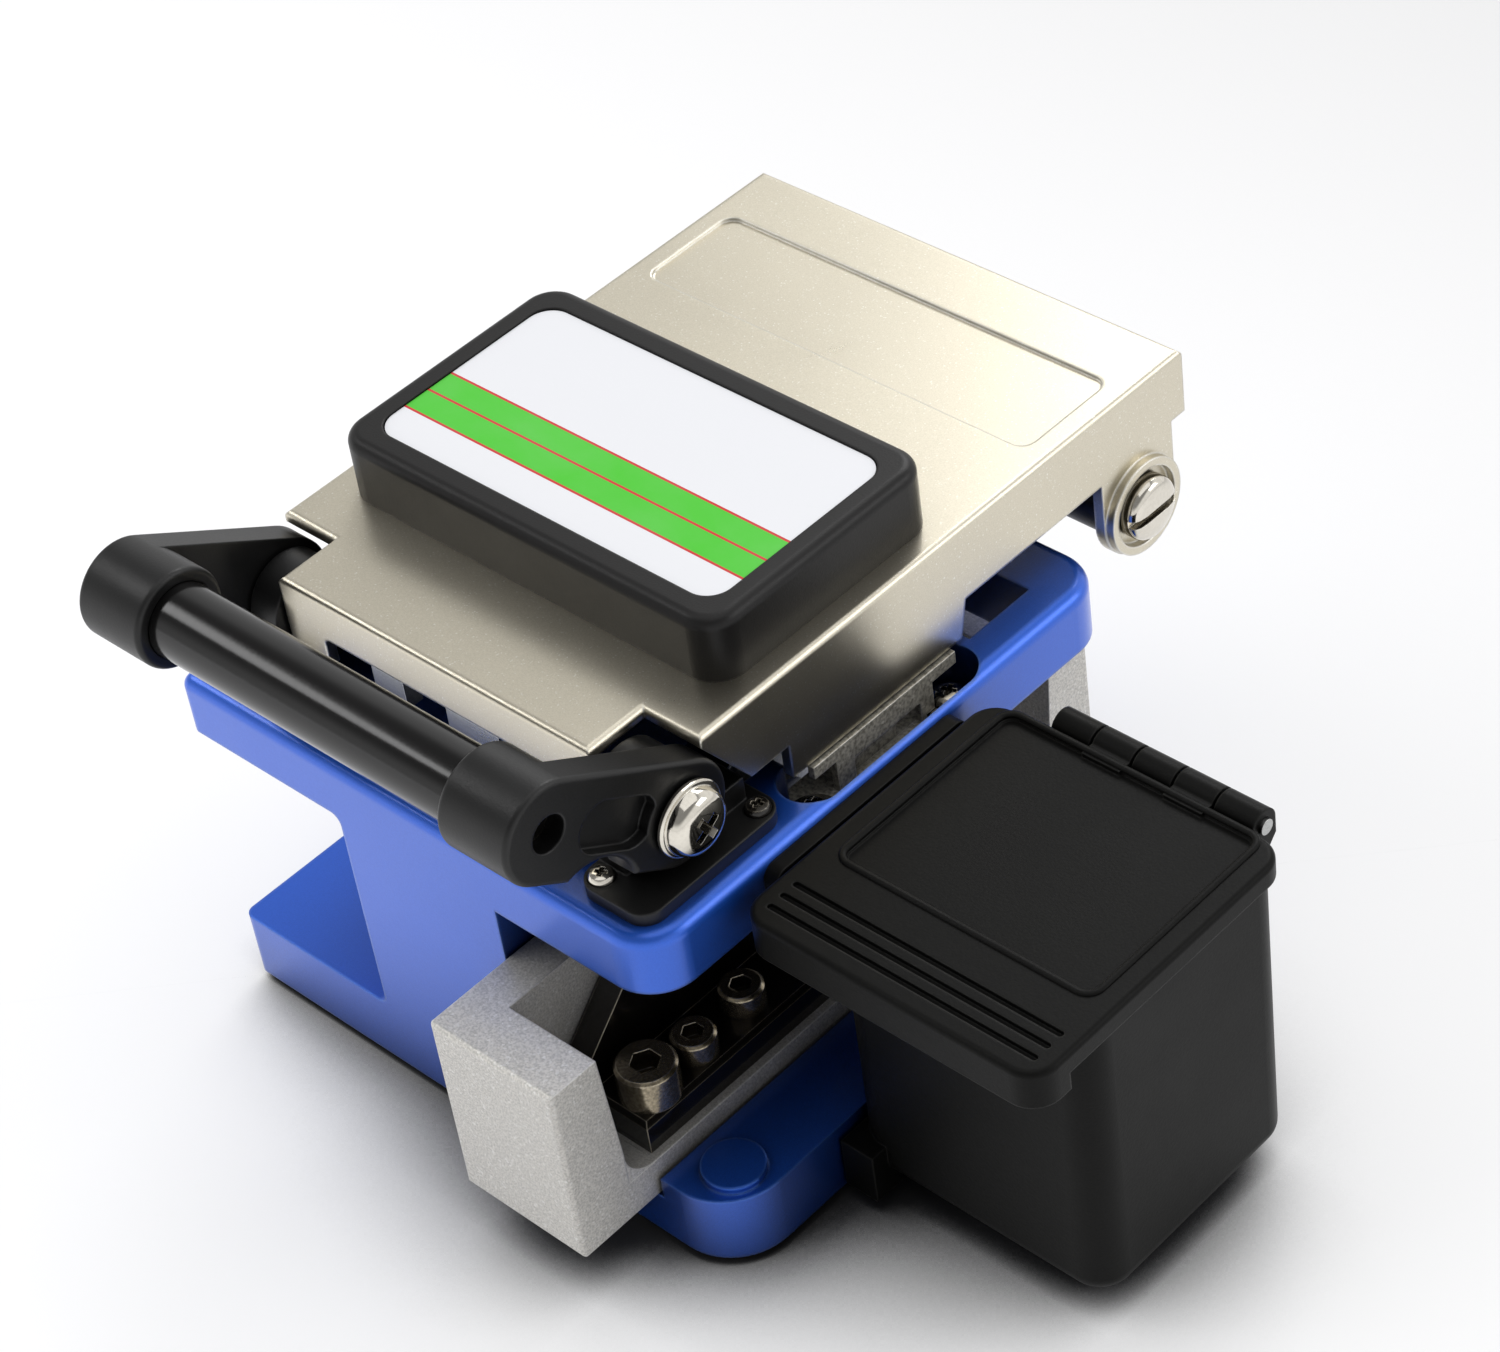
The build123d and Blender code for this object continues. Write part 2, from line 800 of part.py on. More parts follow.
def make_groove_screws():
    """Flat screws of the groove plate."""
    top = fibre_z - 0.1
    head_z = top - groove_head_h
    slot_y = groove_slot_w / 2
    with BuildPart() as groove_screws:
        for x, y in groove_screw_spots():
            rod_z(x, y, table_under + groove_screw_r, head_z, groove_screw_r)
            rod_z(x, y, head_z, top - fit, groove_head_r)
            block(
                (x - groove_head_r, y - slot_y, top - groove_slot_w),
                (x + groove_head_r, y + slot_y, top),
                Mode.SUBTRACT,
            )
    return groove_screws


def make_left_pad():
    """Left lower clamp pad, let into the table."""
    with BuildPart() as left_pad:
        block(
            (left_pad_x0 + fit, fibre_y - pad_half_d + fit, lower_pad_top - pad_t),
            (left_pad_x1 - fit, fibre_y + pad_half_d - fit, lower_pad_top),
        )
    return left_pad


def make_clamp_bracket():
    """Pressed bracket of the right clamp: a sunk foot, a windowed wall and a seat for the pad."""
    low = bracket_screw_front
    high = bracket_screw_back
    wall_in = bracket_wall_x - bracket_t
    wall_end = high - bracket_wall_back
    foot_z = recess_floor + bracket_t
    seat_top = lower_pad_top - pad_t
    with BuildPart() as clamp_bracket:
        with BuildSketch(Plane.XY.offset(recess_floor)):
            with Locations(((window_x1 + bracket_wall_x) / 2 + fit, (low + high) / 2)):
                Rectangle(bracket_wall_x - window_x1 - 2 * fit, high - low)
            with Locations((bracket_screw_x, low), (bracket_screw_x, high)):
                Circle(pocket_r - gap)
        extrude(amount=bracket_t)
        # wall between the two screws, a little longer above the back screw's flange
        block(
            (wall_in, low + bracket_wall_front, recess_floor),
            (bracket_wall_x, wall_end, bracket_top),
        )
        block(
            (wall_in, wall_end - 1, foot_z + bracket_flange_h + fit),
            (bracket_wall_x, high - bracket_head_r - fit, bracket_top),
        )
        block(
            (wall_in - 1, low + bracket_window_front, foot_z + 2 * fit),
            (bracket_wall_x + 1, high - bracket_window_back, bracket_window_top),
            Mode.SUBTRACT,
        )
        # upper strip reaches over both screws
        block(
            (wall_in, low + strip_front, bracket_top - strip_h),
            (bracket_wall_x, high + strip_back, bracket_top),
        )
        # raised seat for the rubber pad
        block(
            (right_pad_x0, fibre_y - pad_half_d, recess_floor + fit),
            (right_pad_x1, fibre_y + pad_half_d, seat_top),
        )
        for y in (low, high):
            rod_z(bracket_screw_x, y, recess_floor, foot_z, bracket_screw_r + fit, Mode.SUBTRACT)
    return clamp_bracket


def make_right_pad():
    """Right lower clamp pad on its bracket."""
    with BuildPart() as right_pad:
        block(
            (right_pad_x0, fibre_y - pad_half_d, lower_pad_top - pad_t),
            (right_pad_x1, fibre_y + pad_half_d, lower_pad_top),
        )
    return right_pad


def make_bracket_screws():
    """Round head screws with a flange that hold the right clamp's bracket."""
    head_z = recess_floor + bracket_t
    with BuildPart() as bracket_screws:
        for y in (bracket_screw_front, bracket_screw_back):
            rod_z(bracket_screw_x, y, table_under - bracket_boss_h + 2 * gap, head_z, bracket_screw_r)
            rod_z(bracket_screw_x, y, head_z, head_z + bracket_flange_h, bracket_flange_r)
            rod_z(bracket_screw_x, y, head_z, head_z + bracket_head_h, bracket_head_r)
        tops = bracket_screws.edges().group_by(Axis.Z)[-1]
        fillet(tops, bracket_head_h / 3)
        with BuildSketch(Plane.XY.offset(head_z + bracket_head_h)):
            with Locations((bracket_screw_x, bracket_screw_front), (bracket_screw_x, bracket_screw_back)):
                Rectangle(1.1 * bracket_head_r, 0.24 * bracket_head_r)
                Rectangle(0.24 * bracket_head_r, 1.1 * bracket_head_r)
        extrude(amount=-bracket_head_h / 2, mode=Mode.SUBTRACT)
    return bracket_screws


def make_magnet():
    """Magnet in the table that holds the lid down."""
    with BuildPart() as lid_magnet:
        rod_z(0, magnet_y, table_top - magnet_seat, magnet_top, magnet_r)
        chamfer(lid_magnet.edges().group_by(Axis.Z)[-1], 0.4)
    return lid_magnet


def post_screw_spots():
    """Screws through the posts' feet: inner front corner and outer back corner on each side."""
    front = (post_x0 + post_screw_inset, post_foot_front + post_screw_inset)
    back = (post_foot_x1 - post_screw_inset, post_foot_back - post_screw_inset)
    return [(side * x, y) for side in (-1, 1) for x, y in (front, back)]


def make_pivot_post(side):
    """Black bearing post of the bail, standing on a foot plate with a raised step."""
    inner = side * post_x0
    outer = side * (arm_x0 - gap)
    foot_end = side * post_foot_x1
    step_end = side * (post_foot_x1 - 2 * post_screw_inset)
    step_front = pivot_y + eye_r + gap
    with BuildPart() as pivot_post:
        with BuildSketch(Plane.YZ.offset(min(inner, outer))):
            with Locations((pivot_y, pivot_z)):
                Circle(post_r)
            with Locations((pivot_y, (pivot_z + table_top) / 2)):
                Rectangle(2 * post_r, pivot_z - table_top)
        extrude(amount=abs(outer - inner))
        with BuildSketch(Plane.XY.offset(table_top)):
            with Locations(((inner + foot_end) / 2, (post_foot_front + post_foot_back) / 2)):
                RectangleRounded(abs(foot_end - inner), post_foot_back - post_foot_front, post_foot_r)
        extrude(amount=post_foot_h)
        block(
            (min(inner, step_end), step_front, table_top),
            (max(inner, step_end), post_foot_back - post_foot_h, table_top + post_step_h),
        )
        rod_x(inner, outer, pivot_y, pivot_z, pivot_r + fit, Mode.SUBTRACT)
        foot_z = table_top + post_foot_h
        for x, y in post_screw_spots():
            if x * side > 0:
                rod_z(x, y, table_top, foot_z, post_screw_r + fit, Mode.SUBTRACT)
                rod_z(x, y, foot_z - post_foot_h / 2, foot_z, post_head_r + fit, Mode.SUBTRACT)
    return pivot_post


def make_post_screws():
    """Low screws that hold the two posts to the table."""
    seat = table_top + post_foot_h / 2
    with BuildPart() as post_screws:
        for x, y in post_screw_spots():
            rod_z(x, y, table_under + 1, seat, post_screw_r)
            rod_z(x, y, seat, seat + post_foot_h, post_head_r)
        tops = post_screws.edges().group_by(Axis.Z)[-1]
        fillet(tops, post_foot_h / 3)
    return post_screws


def make_pivot_screws():
    """Pan head screws that the bail's arms turn on."""
    with BuildPart() as pivot_screws:
        rod_x(post_x0, arm_x1 + gap, pivot_y, pivot_z, pivot_r)
        rod_x(arm_x1 + gap, arm_x1 + gap + pivot_head_h, pivot_y, pivot_z, pivot_head_r)
        crown = pivot_screws.edges().group_by(Axis.X)[-1]
        fillet(crown, pivot_head_h * 0.7)
        with BuildSketch(Plane.YZ.offset(arm_x1 + gap + pivot_head_h)):
            with Locations((pivot_y, pivot_z)):
                Rectangle(0.28 * pivot_head_r, 1.15 * pivot_head_r)
                Rectangle(1.15 * pivot_head_r, 0.28 * pivot_head_r)
        extrude(amount=-pivot_head_h * 0.6, mode=Mode.SUBTRACT)
        mirror(about=Plane.YZ)
    return pivot_screws


def make_hinge_pin():
    """Lid hinge pin with a slotted head."""
    head_x = lid_w / 2 + gap
    clip_x = -head_x - hinge_clip_t
    with BuildPart() as hinge_pin:
        rod_x(clip_x - 0.8, head_x, hinge_y, hinge_z, hinge_pin_r)
        rod_x(head_x, head_x + hinge_head_h, hinge_y, hinge_z, hinge_head_r)
        crown = hinge_pin.edges().group_by(Axis.X)[-1]
        chamfer(crown, 0.5)
        slot = 0.28 * hinge_head_r
        block(
            (head_x + hinge_head_h * 0.5, hinge_y - hinge_head_r, hinge_z - slot / 2),
            (head_x + hinge_head_h, hinge_y + hinge_head_r, hinge_z + slot / 2),
            Mode.SUBTRACT,
        )
        with BuildSketch(Plane.YZ.offset(clip_x)):
            with Locations((hinge_y, hinge_z)):
                Circle(hinge_pin_r)
                Circle(hinge_pin_r - 0.4, mode=Mode.SUBTRACT)
        extrude(amount=hinge_clip_t, mode=Mode.SUBTRACT)
    return hinge_pin


def make_hinge_clip():
    """Snap ring on the pin's left end."""
    clip_x = -lid_w / 2 - gap - hinge_clip_t
    with BuildPart() as hinge_clip:
        with BuildSketch(Plane.YZ.offset(clip_x + fit)):
            with Locations((hinge_y, hinge_z)):
                Circle(hinge_head_r)
                Circle(hinge_pin_r - 0.4 + fit, mode=Mode.SUBTRACT)
            with Locations((hinge_y, hinge_z - hinge_head_r)):
                Rectangle(2 * hinge_pin_r - 1, 2 * hinge_head_r - 1, mode=Mode.SUBTRACT)
        extrude(amount=hinge_clip_t - 2 * fit)
    return hinge_clip


def make_hinge_bushes():
    """Black spacers on the pin between the lugs and the lid's ears."""
    with BuildPart() as hinge_bushes:
        rod_x(lug_end, ear_inner - gap, hinge_y, hinge_z, hinge_bush_r)
        rod_x(lug_end, ear_inner - gap, hinge_y, hinge_z, hinge_pin_r + fit, Mode.SUBTRACT)
        chamfer(hinge_bushes.edges().group_by(Axis.X)[-1], 0.3)
        mirror(about=Plane.YZ)
    return hinge_bushes


def coil(center, radius, wire, length, turns):
    """Upright open coil of round wire that starts at center."""
    path = Helix(pitch=length / turns, height=length, radius=radius, center=center)
    with BuildPart() as spring:
        with BuildSketch(Plane(origin=path @ 0, z_dir=path % 0)):
            Circle(wire / 2)
        sweep(path=path, is_frenet=True)
    return spring.part


def lid_side_profile():
    """Outline of the lid's side wall, from the slanted ear to the hinge eye."""
    slope_y = ear_slope_y
    with BuildSketch(Plane.YZ.offset(-lid_w / 2)) as profile:
        with BuildLine():
            Polyline(
                (lid_shoulder, lid_top - lid_t),
                (slope_y, ear_edge_z),
                (skirt_front, ear_edge_z),
                (skirt_front, skirt_z),
                (skirt_back, skirt_z),
                (skirt_back + 1.0, rear_edge_z),
                (hinge_y - ear_r, rear_edge_z),
                (hinge_y - ear_r, hinge_z),
                (hinge_y + ear_r, hinge_z),
                (hinge_y + ear_r, back_wall_z),
                (lid_back, back_wall_z),
                (lid_back, lid_top),
                (lid_shoulder, lid_top),
                close=True,
            )
        make_face()
        with Locations((hinge_y, hinge_z)):
            Circle(ear_r)
    return profile.sketch


def lid_outline(inset):
    """Plan of the lid's top with its narrower front tongue."""
    half = lid_w / 2 - inset
    tongue = tongue_w / 2 - inset
    shoulder = lid_shoulder + inset
    with BuildSketch(Plane.XY.offset(lid_top)) as outline:
        with BuildLine():
            Polyline(
                (-half, lid_back - inset),
                (-half, shoulder),
                (-tongue, shoulder),
                (-tongue, lid_front + inset),
                (tongue, lid_front + inset),
                (tongue, shoulder),
                (half, shoulder),
                (half, lid_back - inset),
                close=True,
            )
        make_face()
    return outline.sketch


def pad_screw_spots():
    """Screws that hold the press pad, from inside the lid."""
    x = press_w / 2 - pad_screw_inset
    return [(-x, press_y + pad_screw_dy), (x, press_y + pad_screw_dy)]


def make_lid_cover():
    """Pressed and plated lid: top, side walls with hinge eyes, front lip and back wall."""
    half = lid_w / 2
    with BuildPart() as lid_cover:
        extrude(lid_outline(0), amount=-lid_t)
        extrude(lid_side_profile(), amount=lid_t)
        with BuildSketch(Plane.XZ.offset(-lid_back)) as back_wall:
            with Locations((0, (back_wall_z + lid_top) / 2)):
                Rectangle(lid_w, lid_top - back_wall_z)
        extrude(back_wall.sketch, amount=lid_t)
        with BuildSketch(Plane.XZ.offset(-lid_front - lid_t)) as front_lip:
            with Locations((0, (front_edge_z + lid_top) / 2)):
                Rectangle(tongue_w, lid_top - front_edge_z)
            notch_mid = (front_notch_x0 + front_notch_x1) / 2
            with Locations((notch_mid, (front_edge_z + front_notch_z) / 2 - 1)):
                RectangleRounded(
                    front_notch_x1 - front_notch_x0,
                    front_notch_z - front_edge_z + 2,
                    lid_t * 0.8,
                    mode=Mode.SUBTRACT,
                )
        extrude(front_lip.sketch, amount=lid_t)
        with BuildSketch(Plane.YZ.offset(-half - ear_rim_h)) as rim:
            with Locations((hinge_y, hinge_z)):
                Circle(ear_rim_r)
                Circle(ear_rim_r - ear_rim_t, mode=Mode.SUBTRACT)
        extrude(rim.sketch, amount=ear_rim_h)
        # the right side wall and ear mirror the left ones
        wall = extrude(lid_side_profile(), amount=lid_t, mode=Mode.PRIVATE)
        mirror(wall, about=Plane.YZ)
        ring = extrude(rim.sketch, amount=ear_rim_h, mode=Mode.PRIVATE)
        mirror(ring, about=Plane.YZ)
        rod_x(-half - 2, half + 2, hinge_y, hinge_z, hinge_pin_r + pivot_run, Mode.SUBTRACT)
        top_edges = lid_cover.faces().sort_by(Axis.Z)[-1].edges()
        fillet(top_edges, lid_bend_r)
        with BuildSketch(Plane.XY.offset(lid_top)) as panel:
            with Locations((0, panel_y)):
                RectangleRounded(panel_w, panel_d, panel_r)
        extrude(panel.sketch, amount=-panel_depth, mode=Mode.SUBTRACT)
        for x, y in pad_screw_spots():
            rod_z(x, y, lid_top - lid_t, lid_top, pad_screw_r + fit, Mode.SUBTRACT)
    return lid_cover


def make_lid_liner():
    """Steel plate under the lid's top, bent down behind the front lip, with two tabs in its notch."""
    wall_y = lid_front + lid_t + 0.1
    with BuildPart() as lid_liner:
        extrude(lid_outline(lid_t + liner_side_gap), amount=-lid_t - liner_t)
        block((-lid_w, -base_d, lid_top - lid_t), (lid_w, base_d, lid_top + 1), Mode.SUBTRACT)
        block((-lid_w, liner_back, liner_z - 1), (lid_w, base_d, lid_top), Mode.SUBTRACT)
        wall_back = wall_y + liner_wall_t
        block((-liner_wall_half, wall_y, front_notch_z), (liner_wall_half, wall_back, liner_z + 0.5))
        # tabs that close parts of the lid's front notch and leave three slots open
        for x0, x1 in liner_tabs:
            block((x0, wall_y, front_edge_z), (x1, wall_back, front_notch_z + 0.5))
            block((x0, lid_front + 0.2, front_edge_z), (x1, wall_y, front_notch_z - gap))
        for x, y in pad_screw_spots():
            rod_z(x, y, liner_z, lid_top - lid_t, pad_screw_r + fit, Mode.SUBTRACT)
        # keeper for the magnet, sleeve for the anvil and pins for the bridge
        rod_z(0, magnet_y, magnet_top + gap, liner_z + 0.5, magnet_r - 0.5)
        rod_z(anvil_x, fibre_y, sleeve_z, liner_z + 0.5, anvil_stem_r + sleeve_wall)
        rod_z(anvil_x, fibre_y, sleeve_z - 1, liner_z, anvil_stem_r + fit, Mode.SUBTRACT)
        for x in (guide_pin_left, guide_pin_right):
            rod_z(x, fibre_y, bridge_z + bridge_t - 2.0, liner_z + 0.5, guide_pin_r)
    return lid_liner


def make_press_pad():
    """Thick rubber pad on the lid with a sunk place for a plain label."""
    with BuildPart() as press_pad:
        with BuildSketch(Plane.XY.offset(lid_top)):
            with Locations((0, press_y)):
                RectangleRounded(press_w, press_d, press_corner_r)
        extrude(amount=press_h)
        fillet(press_pad.faces().sort_by(Axis.Z)[-1].edges(), press_edge_r)
        with BuildSketch(Plane.XY.offset(lid_top + press_h)):
            with Locations((0, press_y)):
                RectangleRounded(label_w + 4 * fit, label_d + 4 * fit, label_r)
        extrude(amount=-label_depth, mode=Mode.SUBTRACT)
        for x, y in pad_screw_spots():
            rod_z(x, y, lid_top, lid_top + pad_screw_len, pad_screw_r + fit, Mode.SUBTRACT)
    return press_pad


def make_pad_label():
    """Plain label plate in the pad."""
    with BuildPart() as pad_label:
        with BuildSketch(Plane.XY.offset(lid_top + press_h - label_depth)):
            with Locations((0, press_y)):
                RectangleRounded(label_w, label_d, label_r)
        extrude(amount=label_t)
    return pad_label


def make_pad_screws():
    """Screws from inside the lid into the press pad."""
    head_z = liner_z - pad_head_h
    with BuildPart() as pad_screws:
        for x, y in pad_screw_spots():
            rod_z(x, y, liner_z, lid_top + pad_screw_len - fit, pad_screw_r)
            rod_z(x, y, head_z, liner_z, 2 * pad_screw_r)
            rod_z(x, y, head_z, head_z + pad_head_h * 0.6, 0.8 * pad_screw_r, Mode.SUBTRACT)
    return pad_screws


def make_clamp_bridge():
    """Sprung bridge in the lid that carries both upper clamp pads, open for the anvil."""
    z0 = upper_pad_z + upper_pad_t
    y0 = fibre_y - bridge_half_d
    y1 = fibre_y + bridge_half_d
    right_end = ear_inner - gap
    with BuildPart() as clamp_bridge:
        block((left_pad_x0, y0, bridge_z), (right_end, y1, bridge_z + bridge_t))
        fillet(clamp_bridge.edges().filter_by(Axis.Z).group_by(Axis.X)[0], 1.0)
        block((left_pad_x0 + gap, y0 + 0.5, z0), (left_pad_x1, y1 - 0.5, bridge_z))
        block((upper_right_x0, y0 + 0.5, z0), (right_end, y1 - 0.5, bridge_z))
        block(
            (anvil_x - anvil_hole_half, fibre_y - anvil_half_d - gap, z0 - 1),
            (anvil_x + anvil_hole_half, fibre_y + anvil_half_d + gap, bridge_z + bridge_t + 1),
            Mode.SUBTRACT,
        )
        for x in (guide_pin_left, guide_pin_right):
            rod_z(x, fibre_y, bridge_z - 0.2, bridge_z + bridge_t, guide_pin_r + pivot_run, Mode.SUBTRACT)
    return clamp_bridge


def make_upper_pads():
    """Rubber pads under the clamp bridge."""
    y0 = fibre_y - pad_half_d
    y1 = fibre_y + pad_half_d
    z1 = upper_pad_z + upper_pad_t
    with BuildPart() as upper_pads:
        block((left_pad_x0 + gap, y0, upper_pad_z), (left_pad_x1 - gap, y1, z1))
        block((upper_right_x0, y0, upper_pad_z), (ear_inner - 2 * gap, y1, z1))
    return upper_pads


def make_clamp_springs():
    """Springs on the two guide pins, between the bridge and the lid's liner."""
    z0 = bridge_z + bridge_t + spring_wire / 2 + fit
    length = liner_z - bridge_z - bridge_t - spring_wire - 2 * fit
    with BuildPart() as clamp_springs:
        for x in (guide_pin_left, guide_pin_right):
            add(coil((x, fibre_y, z0), spring_r, spring_wire, length, spring_turns))
    return clamp_springs


def make_anvil():
    """Anvil above the blade, with the stem that slides in the lid's sleeve."""
    foot_z = fibre_z + anvil_gap
    with BuildPart() as anvil:
        block(
            (anvil_x - anvil_w / 2, fibre_y - anvil_half_d, foot_z),
            (anvil_x + anvil_w / 2, fibre_y + anvil_half_d, anvil_top),
        )
        chamfer(anvil.edges().filter_by(Axis.Y).group_by(Axis.Z)[0], 0.5)
        rod_z(anvil_x, fibre_y, anvil_top - 0.5, liner_z - press_travel - gap, anvil_stem_r)
    return anvil


def make_anvil_spring():
    """Spring round the anvil's stem."""
    z0 = anvil_top + anvil_wire / 2 + fit
    length = sleeve_z - anvil_top - anvil_wire - 2 * fit
    with BuildPart() as anvil_spring:
        add(coil((anvil_x, fibre_y, z0), anvil_spring_r, anvil_wire, length, spring_turns))
    return anvil_spring


def make_bail_arm_right():
    """Bail arm: a long end boss for the tube and a flat eye for the pivot screw."""
    mid_y = (bail_y + pivot_y) / 2
    mid_z = (bail_z + pivot_z) / 2
    span = ((pivot_y - bail_y) ** 2 + (pivot_z - bail_z) ** 2) ** 0.5
    along_y = (pivot_y - bail_y) / span
    along_z = (pivot_z - bail_z) / span
    waist_r = span / 3
    reach = boss_r + waist_r - 1.9
    tilt = -degrees(atan2(bail_z - pivot_z, pivot_y - bail_y))
    with BuildPart() as bail_arm:
        with BuildSketch(Plane.YZ.offset(arm_x0)):
            with Locations((pivot_y, pivot_z)):
                Circle(eye_r)
            with Locations((bail_y, bail_z)):
                Circle(boss_r)
            make_hull()
            with Locations((mid_y + along_z * reach, mid_z - along_y * reach)):
                Circle(waist_r, mode=Mode.SUBTRACT)
        extrude(amount=arm_x1 - arm_x0)
        rod_x(boss_x0, arm_x0 + 1, bail_y, bail_z, boss_r)
        rims = bail_arm.edges().filter_by(GeomType.CIRCLE).filter_by(
            lambda e: abs(e.center().X - boss_x0) < 0.1 or abs(e.center().X - arm_x1) < 0.1
        )
        fillet(rims.filter_by(lambda e: e.radius > boss_r - 0.1), 0.5)
        with BuildSketch(Plane.YZ.offset(arm_x1)):
            with Locations((mid_y, mid_z)):
                SlotOverall(span - 2 * arm_hole_r - 4.4, 2 * (boss_r - arm_rim) - 2.4, rotation=tilt)
            with Locations((pivot_y, pivot_z)):
                Circle(pivot_head_r + 0.8, mode=Mode.SUBTRACT)
            with Locations((bail_y, bail_z)):
                Circle(arm_hole_r + 1.4, mode=Mode.SUBTRACT)
        extrude(amount=-arm_pocket, mode=Mode.SUBTRACT)
        rod_x(arm_x0 - 1, arm_x1 + 1, pivot_y, pivot_z, pivot_r + pivot_run, Mode.SUBTRACT)
        rod_x(boss_x0 - 1, boss_x0 + tube_seat, bail_y, bail_z, tube_r + fit, Mode.SUBTRACT)
        rod_x(boss_x0, arm_x1 + 1, bail_y, bail_z, tube_bore_r + fit, Mode.SUBTRACT)
        rod_x(arm_x0, arm_x1 + 1, bail_y, bail_z, arm_hole_r, Mode.SUBTRACT)
    return bail_arm


def make_bail_arm_left():
    """Left arm, the mirror of the right one."""
    right_arm = make_bail_arm_right()
    with BuildPart() as bail_arm_left:
        mirror(right_arm.part, about=Plane.YZ)
    return bail_arm_left


def make_bail_tube():
    """Round cross bar between the arms."""
    reach = boss_x0 + tube_seat - fit
    with BuildPart() as bail_tube:
        rod_x(-reach, reach, bail_y, bail_z, tube_r)
        rod_x(-reach - 1, reach + 1, bail_y, bail_z, tube_bore_r + fit, Mode.SUBTRACT)
    return bail_tube


def make_bail_screws():
    """Screws sunk in the arms that hold the cross bar."""
    with BuildPart() as bail_screws:
        rod_x(boss_x0 - 6, arm_x0, bail_y, bail_z, tube_bore_r)
        rod_x(arm_x0, arm_x0 + 1.4, bail_y, bail_z, arm_hole_r - fit)
        rod_x(arm_x0 + 0.6, arm_x0 + 1.4, bail_y, bail_z, 0.8, Mode.SUBTRACT)
        mirror(about=Plane.YZ)
    return bail_screws


def knuckle_span(index):
    """Start and end of one hinge knuckle along X."""
    x0 = knuckle_x0 + index * knuckle_pitch
    return x0, x0 + knuckle_w


def make_waste_box():
    """Open topped waste box with its hanging flange, hinge lugs and small feet."""
    width = box_x1 - box_x0
    depth = box_back - box_front
    center = ((box_x0 + box_x1) / 2, (box_front + box_back) / 2)
    with BuildPart() as waste_box:
        with BuildSketch(Plane.XY.offset(box_bottom)):
            with Locations(center):
                RectangleRounded(width, depth, box_corner_r)
        extrude(amount=box_top - box_bottom)
        fillet(waste_box.faces().sort_by(Axis.Z)[0].edges(), box_edge_r)
        block((flange_x0, flange_front, flange_bottom), (box_x0 + box_corner_r, box_back, box_top))
        outer = waste_box.edges().filter_by(Axis.Z).group_by(Axis.X)[0]
        fillet(outer, flange_edge_r)
        with BuildSketch(Plane.XY.offset(box_bottom + box_wall)):
            with Locations(center):
                RectangleRounded(width - 2 * box_wall, depth - 2 * box_wall, box_corner_r - box_wall)
        extrude(amount=box_top, mode=Mode.SUBTRACT)
        # slot that drops over the mount's tee
        stem_x = table_x1 + mount_t + tee_stem_t
        block(
            (flange_x0 - 1, -tee_stem_half - gap, flange_bottom - 1),
            (stem_x, tee_stem_half + gap, tee_top + gap),
            Mode.SUBTRACT,
        )
        block(
            (stem_x - gap, -tee_head_half - gap, flange_bottom - 1),
            (stem_x + tee_head_t + gap, tee_head_half + gap, tee_top + gap),
            Mode.SUBTRACT,
        )
        # locating lug beside the foot and two small feet
        block(
            (box_x0, box_front - box_lug_h, box_bottom - box_lug_h),
            (box_x0 + box_lug_w, box_front + box_corner_r, box_bottom + 2 * box_lug_h),
        )
        foot_x1 = box_x1 - box_edge_r
        for y in (box_front + 8, box_back - 8):
            block((foot_x1 - 2.5, y - 1.5, box_bottom - 1.2), (foot_x1, y + 1.5, box_bottom + 0.5))
        for index in range(0, knuckle_count, 2):
            x0, x1 = knuckle_span(index)
            with BuildSketch(Plane.YZ.offset(x0)) as lug:
                with Locations((box_hinge_y, box_hinge_z)):
                    Circle(box_knuckle_r)
                with BuildLine():
                    Polyline(
                        (box_back - 0.5, box_top - 4.5),
                        (box_hinge_y + box_knuckle_r, box_top - 0.5),
                        (box_hinge_y + box_knuckle_r, box_hinge_z),
                        (box_hinge_y - box_knuckle_r, box_hinge_z),
                        (box_hinge_y - box_knuckle_r, box_top),
                        (box_back - 0.5, box_top),
                        close=True,
                    )
                make_face()
            extrude(lug.sketch, amount=knuckle_w)
            rod_x(x0 - 1, x1 + 1, box_hinge_y, box_hinge_z, box_pin_r + fit, Mode.SUBTRACT)
    return waste_box


